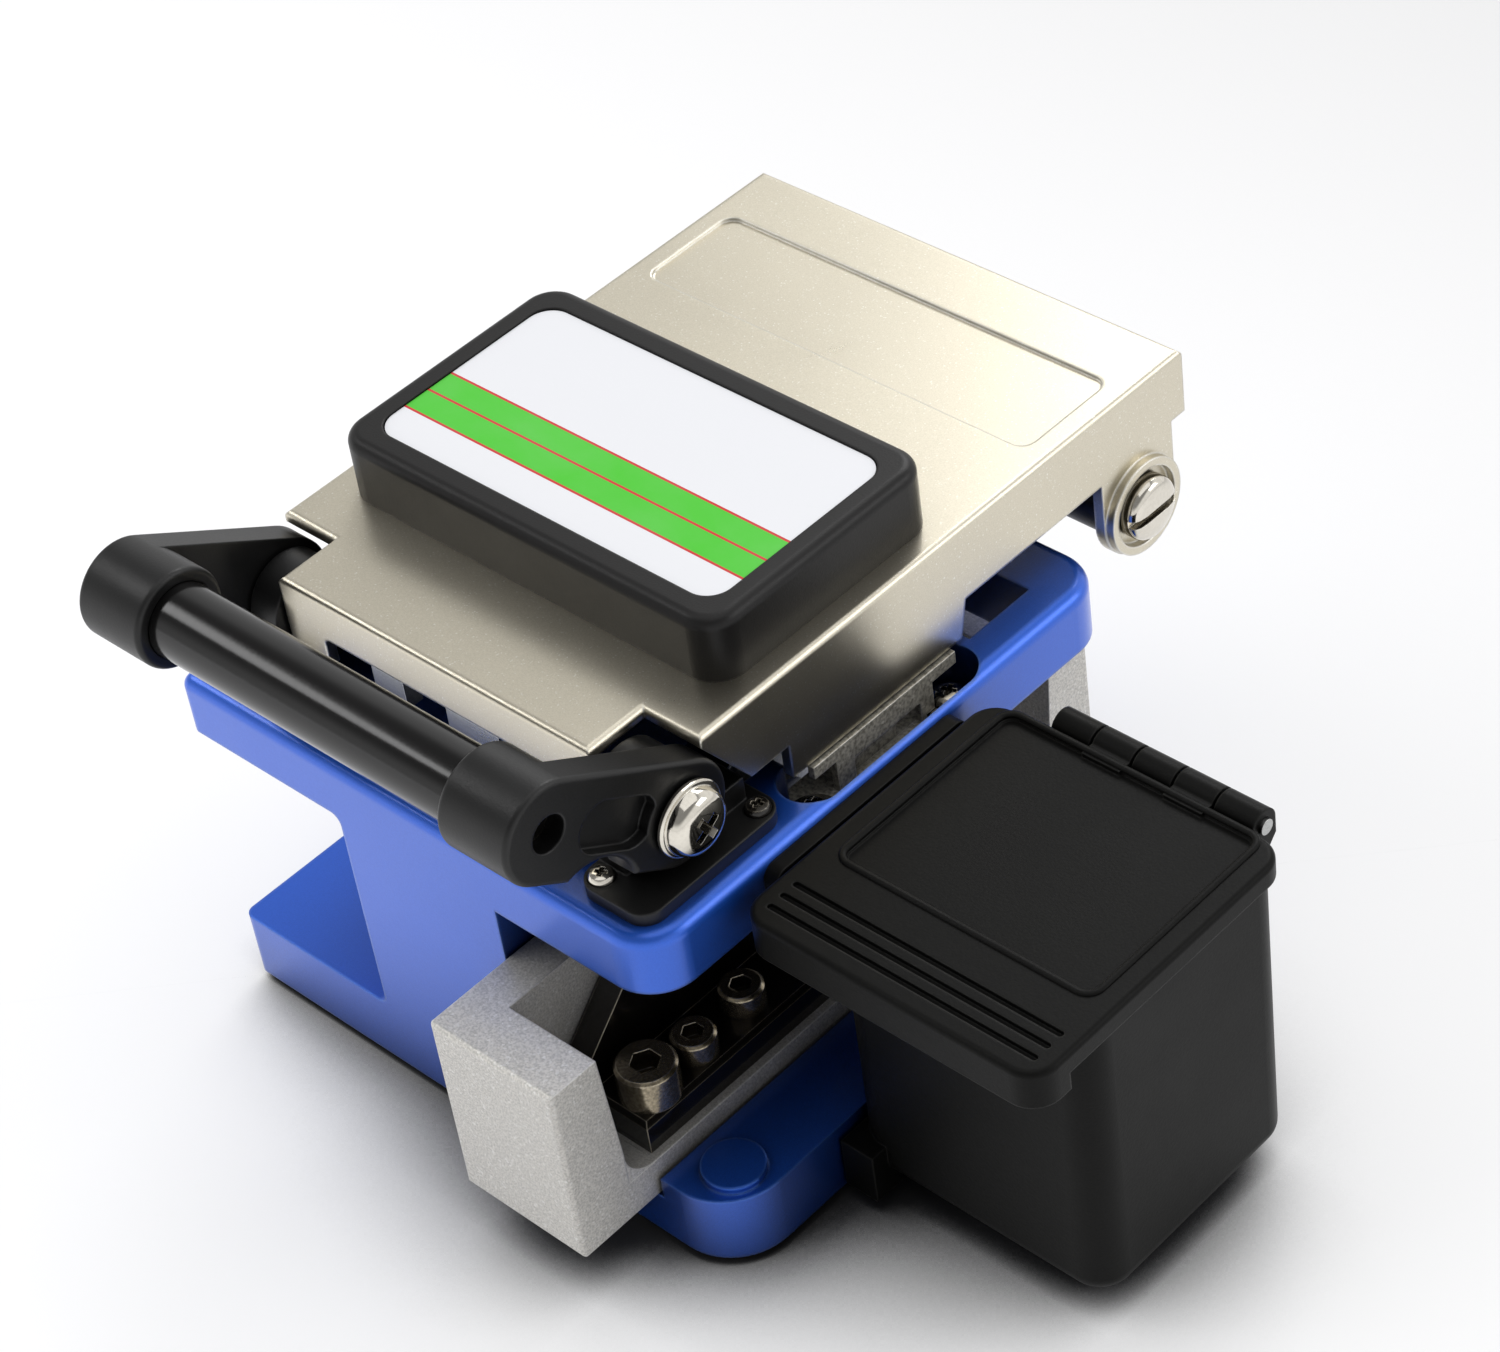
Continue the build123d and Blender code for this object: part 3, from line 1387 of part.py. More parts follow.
def make_box_lid():
    """Box lid with a deep front lip, finger grooves and a sunk panel."""
    back = box_hinge_y - box_knuckle_r - box_lid_gap
    width = box_lid_x1 - flange_x0
    depth = back - box_lid_front
    center = (flange_x0 + width / 2, box_lid_front + depth / 2)
    panel_y0 = box_lid_front + box_panel_front + box_panel_d / 2
    box_panel_w = width - 2 * box_panel_inset
    with BuildPart() as box_lid:
        with BuildSketch(Plane.XY.offset(box_lid_top)):
            with Locations(center):
                RectangleRounded(width, depth, box_lid_corner_r)
        extrude(amount=-lip_h)
        block(
            (flange_x0 - 1, box_lid_front + lip_d, box_lid_top - lip_h - 1),
            (box_lid_x1 + 1, back + 1, box_lid_z0),
            Mode.SUBTRACT,
        )
        fillet(box_lid.faces().sort_by(Axis.Z)[-1].edges(), 0.6)
        with BuildSketch(Plane.XY.offset(box_lid_top)) as grooves:
            for index in range(rib_count):
                groove_y = box_lid_front + 2.4 + index * rib_pitch
                with Locations((center[0], groove_y)):
                    SlotOverall(width - 3.5, rib_w)
        extrude(grooves.sketch, amount=-rib_h, mode=Mode.SUBTRACT)
        with BuildSketch(Plane.XY.offset(box_lid_top)) as rim:
            with Locations((center[0], panel_y0)):
                RectangleRounded(box_panel_w + 2 * bead_w, box_panel_d + 2 * bead_w, 1.6)
        extrude(rim.sketch, amount=-box_panel_depth / 2, mode=Mode.SUBTRACT)
        with BuildSketch(Plane.XY.offset(box_lid_top)) as panel:
            with Locations((center[0], panel_y0)):
                RectangleRounded(box_panel_w, box_panel_d, 1.2)
        extrude(panel.sketch, amount=-box_panel_depth, mode=Mode.SUBTRACT)
        for index in range(1, knuckle_count, 2):
            x0, x1 = knuckle_span(index)
            block((x0, back - 1, box_lid_z0), (x1, box_hinge_y, box_lid_top))
            rod_x(x0, x1, box_hinge_y, box_hinge_z, box_knuckle_r)
            rod_x(x0 - 1, x1 + 1, box_hinge_y, box_hinge_z, box_pin_r + pivot_run, Mode.SUBTRACT)
    return box_lid


def make_box_pin():
    """Hinge pin of the box lid."""
    x_end = knuckle_x0 + (knuckle_count - 1) * knuckle_pitch + knuckle_w
    with BuildPart() as box_pin:
        rod_x(knuckle_x0 + 0.5, x_end + 0.4, box_hinge_y, box_hinge_z, box_pin_r)
    return box_pin


def make_box_mount():
    """Hanger screwed to the side of the table, with the tee that the box drops over."""
    x0 = table_x1
    stem_x = x0 + mount_t + tee_stem_t
    with BuildPart() as box_mount:
        block((x0, mount_front, mount_z0), (x0 + mount_t, mount_back, table_top - 1.0))
        fillet(box_mount.edges().filter_by(Axis.X), 1.5)
        block((x0 + mount_t - 0.5, -tee_stem_half, flange_bottom), (stem_x, tee_stem_half, tee_top))
        block((stem_x, -tee_head_half, flange_bottom), (stem_x + tee_head_t, tee_head_half, tee_top))
        face_x = x0 + mount_t
        for y in mount_screw_ys:
            rod_x(x0, face_x, y, mount_screw_z, mount_screw_r + fit, Mode.SUBTRACT)
            rod_x(face_x - mount_head_h, face_x, y, mount_screw_z, mount_head_r + fit, Mode.SUBTRACT)
    return box_mount


def make_mount_screws():
    """Sunk screws of the hanger."""
    x0 = table_x1 - mount_screw_len + fit
    x1 = table_x1 + mount_t
    slot_z = mount_head_r * 0.15
    with BuildPart() as mount_screws:
        for y in mount_screw_ys:
            rod_x(x0, x1 - mount_head_h, y, mount_screw_z, mount_screw_r)
            rod_x(x1 - mount_head_h, x1 - fit, y, mount_screw_z, mount_head_r)
            block(
                (x1 - mount_head_h / 2, y - mount_head_r, mount_screw_z - slot_z),
                (x1, y + mount_head_r, mount_screw_z + slot_z),
                Mode.SUBTRACT,
            )
    return mount_screws


os.makedirs("parts", exist_ok=True)
save(make_base_frame(), "base_frame")
save(make_rubber_mat(), "rubber_mat")
save(make_guide_rail(), "guide_rail")
save(make_guide_screws(), "guide_screws")
save(make_groove_plate(), "groove_plate")
save(make_groove_screws(), "groove_screws")
save(make_left_pad(), "left_clamp_pad")
save(make_clamp_bracket(), "clamp_bracket")
save(make_right_pad(), "right_clamp_pad")
save(make_bracket_screws(), "bracket_screws")
save(make_magnet(), "lid_magnet")
save(make_pivot_post(-1), "pivot_post_left")
save(make_pivot_post(1), "pivot_post_right")
save(make_post_screws(), "post_screws")
save(make_pivot_screws(), "pivot_screws")
save(make_hinge_pin(), "hinge_pin")
save(make_hinge_clip(), "hinge_clip")
save(make_hinge_bushes(), "hinge_bushes")
save(make_box_mount(), "box_mount")
save(make_mount_screws(), "mount_screws")
save(make_carriage(), "carriage")
save(make_rail_block(), "rail_block")
save(make_block_screws(), "block_screws")
save(make_blade_holder(), "blade_holder")
save(make_holder_screws(), "holder_screws")
save(make_blade_shaft(), "blade_shaft")
save(make_blade(), "blade")
save(make_blade_hub(), "blade_hub")
save(make_lid_cover(), "lid_cover")
save(make_lid_liner(), "lid_liner")
save(make_press_pad(), "press_pad")
save(make_pad_label(), "pad_label")
save(make_pad_screws(), "pad_screws")
save(make_clamp_bridge(), "clamp_bridge")
save(make_upper_pads(), "upper_pads")
save(make_clamp_springs(), "clamp_springs")
save(make_anvil(), "anvil")
save(make_anvil_spring(), "anvil_spring")
save(make_bail_arm_left(), "bail_arm_left")
save(make_bail_arm_right(), "bail_arm_right")
save(make_bail_tube(), "bail_tube")
save(make_bail_screws(), "bail_screws")
save(make_waste_box(), "waste_box")
save(make_box_lid(), "waste_box_lid")
save(make_box_pin(), "box_hinge_pin")
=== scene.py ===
import json
import math

import bmesh
import bpy
from mathutils import Euler, Matrix, Vector


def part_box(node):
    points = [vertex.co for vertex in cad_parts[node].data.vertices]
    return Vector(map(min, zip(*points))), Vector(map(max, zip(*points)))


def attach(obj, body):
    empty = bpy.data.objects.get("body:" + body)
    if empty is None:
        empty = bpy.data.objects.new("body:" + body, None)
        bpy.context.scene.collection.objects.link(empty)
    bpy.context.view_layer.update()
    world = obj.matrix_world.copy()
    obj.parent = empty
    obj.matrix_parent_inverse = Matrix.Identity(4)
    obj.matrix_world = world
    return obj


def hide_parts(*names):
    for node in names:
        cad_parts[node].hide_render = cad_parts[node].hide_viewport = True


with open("model.json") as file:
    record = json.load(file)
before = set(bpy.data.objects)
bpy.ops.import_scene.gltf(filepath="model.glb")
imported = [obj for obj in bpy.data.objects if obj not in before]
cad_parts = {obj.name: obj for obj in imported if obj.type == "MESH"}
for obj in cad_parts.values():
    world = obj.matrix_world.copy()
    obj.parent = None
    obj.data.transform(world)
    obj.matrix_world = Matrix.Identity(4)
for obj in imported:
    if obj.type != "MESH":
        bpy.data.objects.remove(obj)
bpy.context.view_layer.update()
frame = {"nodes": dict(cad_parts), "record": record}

nodes = frame["nodes"]
mm = 0.001
floatKind = "NodeSocketFloat"
print("cleaver: solids loaded,", len(nodes), "nodes")


# small helpers

def fromScreen(red, green, blue):   # linear colour of a screen colour given as 0 to 255
    shares = (
        ((level / 255 + 0.055) / 1.055) ** 2.4 if level > 10 else level / 3294.6
        for level in (red, green, blue)
    )
    return tuple(shares) + (1.0,)


def place(tree, kind, **settings):
    node = tree.nodes.new(kind)
    for name, value in settings.items():
        setattr(node, name, value)
    return node


def setInputs(node, **values):
    for name, value in values.items():
        node.inputs[name.replace("_", " ")].default_value = value
    return node


def wire(tree, node, **sources):   # links each source to the input of that name
    for name, source in sources.items():
        tree.links.new(source, node.inputs[name.replace("_", " ")])
    return node


def objectCoords(tree):
    return place(tree, "ShaderNodeTexCoord").outputs["Object"]


def splitCoords(tree, source):   # the X, Y and Z of a position or direction
    return wire(tree, place(tree, "ShaderNodeSeparateXYZ"), Vector=source).outputs


def remap(tree, value, smooth=False, **limits):
    kind = "SMOOTHSTEP" if smooth else "LINEAR"
    node = place(tree, "ShaderNodeMapRange", interpolation_type=kind)
    return wire(tree, setInputs(node, **limits), Value=value).outputs["Result"]


def mathNode(tree, operation, first, second=None, clamp=False):
    node = place(tree, "ShaderNodeMath", operation=operation, use_clamp=clamp)
    for index, value in enumerate((first, second)):
        if value is None:
            continue
        if isinstance(value, (int, float)):
            node.inputs[index].default_value = value
        else:
            tree.links.new(value, node.inputs[index])
    return node.outputs[0]


def mixColours(tree, factor, first, second, blend="MIX"):
    node = place(tree, "ShaderNodeMix", data_type="RGBA", blend_type=blend)
    for index, value in ((0, factor), (6, first), (7, second)):   # 6 and 7 are its colour sockets
        if isinstance(value, (int, float, tuple)):
            node.inputs[index].default_value = value
        else:
            tree.links.new(value, node.inputs[index])
    return node.outputs[2]


def newGroup(name, inputs, outputs):
    group = bpy.data.node_groups.new(name, "ShaderNodeTree")
    for label, kind, value in inputs:
        socket = group.interface.new_socket(name=label, in_out="INPUT", socket_type=kind)
        socket.default_value = value
    for label, kind in outputs:
        group.interface.new_socket(name=label, in_out="OUTPUT", socket_type=kind)
    return group, place(group, "NodeGroupInput"), place(group, "NodeGroupOutput")


def useGroup(tree, group, **values):
    return setInputs(place(tree, "ShaderNodeGroup", node_tree=group), **values)


def newMaterial(name):
    material = bpy.data.materials.new(name)
    material.use_nodes = True
    return material, material.node_tree, material.node_tree.nodes["Principled BSDF"]


def addRelief(tree, shader, height, strength, depth):
    relief = setInputs(place(tree, "ShaderNodeBump"), Strength=strength, Distance=depth)
    wire(tree, relief, Height=height)
    wire(tree, shader, Normal=relief.outputs["Normal"])
    return relief


# shared effects

recessLook = dict(samples=4, deepest=0.12, open=0.80)   # shares of open sky over a spot


def makeRecessGroup(look):   # painted shade: gets darker in pockets and gaps, 1 on open faces
    group, given, out = newGroup(
        "recessShade", [("Reach", floatKind, 0.006), ("Depth", floatKind, 0.35)], [("Shade", floatKind)]
    )
    closeness = place(group, "ShaderNodeAmbientOcclusion", samples=look["samples"])
    wire(group, closeness, Distance=given.outputs["Reach"])
    ramp = place(group, "ShaderNodeMapRange")
    setInputs(ramp, From_Min=look["deepest"], From_Max=look["open"])
    wire(group, ramp, Value=closeness.outputs["AO"], To_Min=given.outputs["Depth"])
    wire(group, out, Shade=ramp.outputs["Result"])
    return group


def makeGrainGroup():   # fine cast or moulded grain, a value round one half
    group, given, out = newGroup(
        "fineGrain", [("Scale", floatKind, 4000.0), ("Softness", floatKind, 0.5)], [("Grain", floatKind)]
    )
    noise = setInputs(place(group, "ShaderNodeTexNoise"), Detail=3.0)
    wire(group, noise, Vector=objectCoords(group))
    wire(group, noise, Scale=given.outputs["Scale"], Roughness=given.outputs["Softness"])
    wire(group, out, Grain=noise.outputs["Fac"])
    return group


def makeFlakeGroup():   # single bright flakes, as in metallic paint and blasted plate
    group, given, out = newGroup(
        "metalFlakes", [("Scale", floatKind, 4500.0), ("Share", floatKind, 0.1)], [("Flake", floatKind)]
    )
    cells = place(group, "ShaderNodeTexVoronoi", feature="F1")
    wire(group, cells, Vector=objectCoords(group), Scale=given.outputs["Scale"])
    split = wire(group, place(group, "ShaderNodeSeparateColor"), Color=cells.outputs["Color"])
    limit = mathNode(group, "SUBTRACT", 1.0, given.outputs["Share"])
    over = mathNode(group, "SUBTRACT", split.outputs[0], limit)
    wire(group, out, Flake=mathNode(group, "DIVIDE", over, given.outputs["Share"], clamp=True))
    return group


def makeHandlingGroup():   # broad cloudy changes from handling and cleaning
    group, given, out = newGroup("handling", [("Scale", floatKind, 60.0)], [("Cloud", floatKind)])
    noise = place(group, "ShaderNodeTexNoise")
    setInputs(noise, Detail=4.0, Roughness=0.6, Distortion=0.4)
    wire(group, noise, Vector=objectCoords(group), Scale=given.outputs["Scale"])
    wire(group, out, Cloud=noise.outputs["Fac"])
    return group


edgeLook = dict(samples=6, cornerGain=6.0, patchBase=0.25)


def makeEdgeGroup(look):   # broken edges: a rounded normal, and a mask along corners for wear and a painted highlight
    group, given, out = newGroup(
        "edgeWearAndHighlight",
        [("Radius", floatKind, 0.0002), ("Patchiness", floatKind, 700.0)],
        [("Normal", "NodeSocketVector"), ("Edge", floatKind)],
    )
    rounded = place(group, "ShaderNodeBevel", samples=look["samples"])
    wire(group, rounded, Radius=given.outputs["Radius"])
    flat = place(group, "ShaderNodeNewGeometry")
    turned = place(group, "ShaderNodeVectorMath", operation="DOT_PRODUCT")
    group.links.new(rounded.outputs["Normal"], turned.inputs[0])
    group.links.new(flat.outputs["Normal"], turned.inputs[1])
    off = mathNode(group, "SUBTRACT", 1.0, turned.outputs["Value"])
    raised = mathNode(group, "MULTIPLY", off, look["cornerGain"], clamp=True)
    patches = setInputs(place(group, "ShaderNodeTexNoise"), Detail=3.0)
    wire(group, patches, Vector=objectCoords(group), Scale=given.outputs["Patchiness"])
    patchy = mathNode(group, "ADD", patches.outputs["Fac"], look["patchBase"])
    wire(group, out, Normal=rounded.outputs["Normal"])
    wire(group, out, Edge=mathNode(group, "MULTIPLY", patchy, raised, clamp=True))
    return group


recessGroup = makeRecessGroup(recessLook)
grainGroup = makeGrainGroup()
flakeGroup = makeFlakeGroup()
handlingGroup = makeHandlingGroup()
edgeGroup = makeEdgeGroup(edgeLook)
print("cleaver: shared effects ready")


# finishes

plainLook = dict(   # what a finish has unless it says otherwise
    coat=0.0, coatRough=0.3, specular=0.5, flake=0.0, recessReach=0.006, recessShade=0.35,
)

finishLooks = {
    "bluePaint": dict(
        colour=(40, 104, 226), shade=(32, 92, 214), edgeColour=(110, 162, 248), edgeAmount=0.5,
        metallic=0.6, smooth=0.30, rough=0.38, grain=6200.0, grainShade=0.4, bump=0.06,
        edgeRadius=0.0005, coat=0.7, coatRough=0.20, recessReach=0.028, recessShade=0.05,
    ),
    "silverPaint": dict(
        colour=(230, 227, 221), shade=(188, 186, 181), edgeColour=(255, 254, 252), edgeAmount=1.0,
        metallic=0.35, smooth=0.38, rough=0.50, grain=4600.0, grainShade=0.85, bump=0.12,
        edgeRadius=0.00028, flake=0.12, recessReach=0.009, recessShade=0.25,
    ),
    "nickelPlate": dict(
        colour=(222, 215, 197), shade=(204, 197, 178), edgeColour=(255, 254, 248), edgeAmount=1.0,
        metallic=1.0, smooth=0.27, rough=0.34, grain=8000.0, grainShade=0.6, bump=0.05,
        edgeRadius=0.00038, flake=0.04, recessReach=0.004, recessShade=0.8,
    ),
    "zincPlate": dict(   # bracket of the right clamp
        colour=(206, 202, 190), shade=(132, 128, 118), edgeColour=(250, 248, 240), edgeAmount=0.9,
        metallic=0.5, smooth=0.34, rough=0.48, grain=2600.0, grainShade=0.9, bump=0.14,
        edgeRadius=0.00020, flake=0.05, recessReach=0.003, recessShade=0.3,
    ),
    "groundSteel": dict(
        colour=(186, 187, 186), shade=(150, 151, 151), edgeColour=(236, 236, 234), edgeAmount=0.6,
        metallic=1.0, smooth=0.24, rough=0.36, grain=5600.0, grainShade=0.5, bump=0.08,
        edgeRadius=0.00010,
    ),
    "blackSteel": dict(
        colour=(40, 37, 34), shade=(24, 22, 20), edgeColour=(214, 204, 184), edgeAmount=0.9,
        metallic=0.6, smooth=0.16, rough=0.28, grain=4200.0, grainShade=0.5, bump=0.04,
        edgeRadius=0.00022, coat=0.5, coatRough=0.08,
    ),
    "oiledSteel": dict(   # socket screws of the blade holder
        colour=(176, 164, 140), shade=(118, 108, 90), edgeColour=(240, 230, 208), edgeAmount=0.9,
        metallic=0.9, smooth=0.14, rough=0.26, grain=3000.0, grainShade=0.8, bump=0.06,
        edgeRadius=0.00022, coat=0.3, coatRough=0.08, recessReach=0.003, recessShade=0.1,
    ),
    "brightPlate": dict(
        colour=(226, 221, 210), shade=(206, 200, 188), edgeColour=(250, 247, 240), edgeAmount=0.5,
        metallic=1.0, smooth=0.07, rough=0.13, grain=2600.0, grainShade=0.3, bump=0.02,
        edgeRadius=0.00010,
    ),
    "mouldedBlack": dict(
        colour=(18, 18, 18), shade=(13, 13, 14), edgeColour=(56, 56, 57), edgeAmount=0.4,
        metallic=0.0, smooth=0.34, rough=0.44, grain=4200.0, grainShade=0.6, bump=0.10,
        edgeRadius=0.00032, specular=0.42,
    ),
    "tubeBlack": dict(
        colour=(13, 12, 12), shade=(9, 9, 9), edgeColour=(44, 44, 44), edgeAmount=0.2,
        metallic=0.0, smooth=0.13, rough=0.20, grain=2400.0, grainShade=0.4, bump=0.02,
        edgeRadius=0.00020, coat=0.2, coatRough=0.10, specular=0.4,
    ),
    "boxBlack": dict(
        colour=(18, 18, 17), shade=(14, 14, 14), edgeColour=(66, 66, 64), edgeAmount=0.55,
        metallic=0.0, smooth=0.34, rough=0.44, grain=3600.0, grainShade=0.6, bump=0.10,
        edgeRadius=0.00030, specular=0.09,
    ),
    "softBlack": dict(
        colour=(23, 22, 22), shade=(18, 17, 17), edgeColour=(64, 62, 60), edgeAmount=0.3,
        metallic=0.0, smooth=0.34, rough=0.46, grain=4800.0, grainShade=0.5, bump=0.10,
        edgeRadius=0.00030, specular=0.30, recessShade=0.8,
    ),
    "plainRubber": dict(
        colour=(34, 34, 35), shade=(26, 26, 27), edgeColour=(60, 60, 60), edgeAmount=0.2,
        metallic=0.0, smooth=0.66, rough=0.82, grain=3600.0, grainShade=0.6, bump=0.20,
        edgeRadius=0.00020, specular=0.35,
    ),
}

blendLook = dict(   # how every finish mixes its grain, flakes and clouds
    cloudScale=70.0, grainFrom=0.38, grainTo=0.66, flakeScale=0.9, flakeStrength=0.55,
    cloudShare=0.7, grainShare=0.3, sheenFrom=0.3, sheenTo=0.7, bumpDepth=0.00012,
)


def makeFinish(name, ownLook, blend):
    look = {**plainLook, **ownLook}
    material, tree, shader = newMaterial(name)
    setInputs(
        shader, Metallic=look["metallic"], Specular_IOR_Level=look["specular"],
        Coat_Weight=look["coat"], Coat_Roughness=look["coatRough"],
    )
    edgeColour = fromScreen(*look["edgeColour"])
    grain = useGroup(tree, grainGroup, Scale=look["grain"]).outputs["Grain"]
    cloud = useGroup(tree, handlingGroup, Scale=blend["cloudScale"]).outputs["Cloud"]
    edge = useGroup(tree, edgeGroup, Radius=look["edgeRadius"])
    mottle = remap(
        tree, grain, From_Min=blend["grainFrom"], From_Max=blend["grainTo"],
        To_Min=0.0, To_Max=look["grainShade"],
    )
    colour = mixColours(tree, mottle, fromScreen(*look["colour"]), fromScreen(*look["shade"]))
    if look["flake"]:
        flakeScale = look["grain"] * blend["flakeScale"]
        flakes = useGroup(tree, flakeGroup, Scale=flakeScale, Share=look["flake"]).outputs["Flake"]
        bright = mathNode(tree, "MULTIPLY", flakes, blend["flakeStrength"])
        colour = mixColours(tree, bright, colour, edgeColour)
    # edge wear together with a painted highlight: the edge colour is lighter than the finish
    wearAndHighlight = mathNode(tree, "MULTIPLY", edge.outputs["Edge"], look["edgeAmount"])
    colour = mixColours(tree, wearAndHighlight, colour, edgeColour)
    # painted shade in pockets and gaps, multiplied into the colour
    recess = useGroup(tree, recessGroup, Reach=look["recessReach"], Depth=look["recessShade"])
    colour = mixColours(tree, 1.0, colour, recess.outputs["Shade"], "MULTIPLY")
    cloudPart = mathNode(tree, "MULTIPLY", cloud, blend["cloudShare"])
    grainPart = mathNode(tree, "MULTIPLY", grain, blend["grainShare"])
    sheen = remap(
        tree, mathNode(tree, "ADD", cloudPart, grainPart),
        From_Min=blend["sheenFrom"], From_Max=blend["sheenTo"],
        To_Min=look["smooth"], To_Max=look["rough"],
    )
    wire(tree, shader, Base_Color=colour, Roughness=sheen)
    relief = addRelief(tree, shader, grain, look["bump"], blend["bumpDepth"])
    wire(tree, relief, Normal=edge.outputs["Normal"])
    return material


finishes = {name: makeFinish(name, look, blendLook) for name, look in finishLooks.items()}


# the press pad's label, its stripes in mm along Y
labelLook = dict(
    paper=(224, 225, 229), band=(62, 192, 22), line=(198, 24, 22), cloudColour=(214, 214, 216),
    bandFrom=-5.6, bandTo=0.6, middleLine=-2.5, lineWidth=0.32, edgeSharpness=25000.0,
    cloudAmount=0.12, cloudScale=120.0, grainScale=3000.0, smooth=0.24, rough=0.40,
    bump=0.04, bumpDepth=0.0001, coat=0.08, coatRough=0.16, specular=0.25,
)


def makeLabelFinish(look):   # white gloss label with a green band between thin red lines
    material, tree, shader = newMaterial("stripedLabel")
    setInputs(
        shader, Coat_Weight=look["coat"], Coat_Roughness=look["coatRough"],
        Specular_IOR_Level=look["specular"],
    )
    across = splitCoords(tree, objectCoords(tree))["Y"]

    def stripe(middle, width):
        away = mathNode(tree, "ABSOLUTE", mathNode(tree, "SUBTRACT", across, middle * mm))
        inside = mathNode(tree, "SUBTRACT", width * mm / 2, away)
        return mathNode(tree, "MULTIPLY", inside, look["edgeSharpness"], clamp=True)

    band = stripe((look["bandFrom"] + look["bandTo"]) / 2, look["bandTo"] - look["bandFrom"])
    colour = mixColours(tree, band, fromScreen(*look["paper"]), fromScreen(*look["band"]))
    for middle in (look["bandFrom"], look["middleLine"], look["bandTo"]):
        line = stripe(middle, look["lineWidth"])
        colour = mixColours(tree, line, colour, fromScreen(*look["line"]))
    cloud = useGroup(tree, handlingGroup, Scale=look["cloudScale"]).outputs["Cloud"]
    grain = useGroup(tree, grainGroup, Scale=look["grainScale"]).outputs["Grain"]
    clouded = mathNode(tree, "MULTIPLY", cloud, look["cloudAmount"])
    colour = mixColours(tree, clouded, colour, fromScreen(*look["cloudColour"]))
    sheen = remap(tree, cloud, To_Min=look["smooth"], To_Max=look["rough"])
    wire(tree, shader, Base_Color=colour, Roughness=sheen)
    addRelief(tree, shader, grain, look["bump"], look["bumpDepth"])
    return material


finishes["stripedLabel"] = makeLabelFinish(labelLook)

slotFinishes = {
    "blue_paint": "bluePaint", "silver_paint": "silverPaint", "nickel": "nickelPlate",
    "steel": "groundSteel", "dark_steel": "blackSteel", "chrome": "brightPlate",
    "black_plastic": "mouldedBlack", "black_tube": "tubeBlack", "box_plastic": "boxBlack",
    "soft_black": "softBlack", "rubber": "plainRubber", "label_white": "stripedLabel",
}
nodeFinishes = {   # pieces whose finish differs from their slot's
    "holder_screws": "oiledSteel", "clamp_bracket": "zincPlate", "box_mount": "boxBlack",
}
for part in frame["record"]["subparts"]:
    solid = nodes[part["node"]]
    solid.data.materials.clear()
    chosen = nodeFinishes.get(part["node"], slotFinishes[part["material_slot"]])
    solid.data.materials.append(finishes[chosen])
print("cleaver: finishes assigned")


# making pieces

def makeObject(mesh, name):
    data = bpy.data.meshes.new(name)
    mesh.to_mesh(data)
    mesh.free()
    piece = bpy.data.objects.new(name, data)
    bpy.context.scene.collection.objects.link(piece)
    return piece


def gather(name, blank, places, body, slotName, node=None, smoothTo=32.0):   # placed copies of a blank
    joined = bmesh.new()
    for matrix in places:
        start = len(joined.verts)
        joined.from_mesh(blank.data)
        joined.verts.ensure_lookup_table()
        bmesh.ops.transform(joined, matrix=matrix, verts=joined.verts[start:])
    bpy.data.objects.remove(blank)
    bmesh.ops.recalc_face_normals(joined, faces=joined.faces)
    piece = makeObject(joined, name)
    for face in piece.data.polygons:
        face.use_smooth = True
    piece.data.set_sharp_from_angle(angle=math.radians(smoothTo))
    piece.data.materials.append(finishes[slotFinishes[slotName]])
    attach(piece, body)
    if node:
        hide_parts(node)
    return piece


# turned screws with their driver recesses, made along X with the head's seat at 0

upright = Matrix.Rotation(-math.pi / 2, 4, "Y")   # turns such a screw to stand on its point


def spinOutline(outline, steps=64):   # (radius, height) pairs in mm, turned round X
    mesh = bmesh.new()
    ring = [mesh.verts.new((height * mm, 0.0, radius * mm)) for radius, height in outline]
    edges = [mesh.edges.new(pair) for pair in zip(ring, ring[1:])]
    bmesh.ops.spin(
        mesh, geom=ring + edges, cent=(0, 0, 0), axis=(1, 0, 0), angle=math.tau, steps=steps, use_merge=True
    )
    bmesh.ops.remove_doubles(mesh, verts=mesh.verts, dist=1e-6)
    bmesh.ops.recalc_face_normals(mesh, faces=mesh.faces)
    return mesh


def carve(piece, cutter):   # cuts one closed shape out of another and throws the cutter away
    cut = piece.modifiers.new("recess", "BOOLEAN")
    cut.operation = "DIFFERENCE"
    cut.solver = "EXACT"
    cut.object = cutter
    graph = bpy.context.evaluated_depsgraph_get()
    shaped = bpy.data.meshes.new_from_object(piece.evaluated_get(graph))
    piece.modifiers.clear()
    piece.data = shaped
    bpy.data.objects.remove(cutter)


def makeBar(length, width, depth, top, taper, narrow=0.8):   # bar that tapers down X from height top
    mesh = bmesh.new()
    bmesh.ops.create_cube(mesh, size=1.0)
    bmesh.ops.scale(mesh, vec=(2 * depth * mm, length * mm, width * mm), verts=mesh.verts)
    low = [v for v in mesh.verts if v.co.x < 0]
    bmesh.ops.scale(mesh, vec=(1.0, taper, narrow), verts=low)
    bmesh.ops.translate(mesh, vec=(top * mm, 0.0, 0.0), verts=mesh.verts)
    return mesh


def turnedPiece(name, outline, cuts):   # each cut is a turn in degrees and a bar
    piece = makeObject(spinOutline(outline), name)
    for turn, bar in cuts:
        mesh = makeBar(**bar)
        turning = Matrix.Rotation(math.radians(turn), 3, "X")
        bmesh.ops.rotate(mesh, cent=(0, 0, 0), matrix=turning, verts=mesh.verts)
        carve(piece, makeObject(mesh, "cutter"))
    return piece


def headCurve(shares, radius, low, high):   # shares of a head's radius and height as an outline
    return [(radius * across, low + (high - low) * up) for across, up in shares]


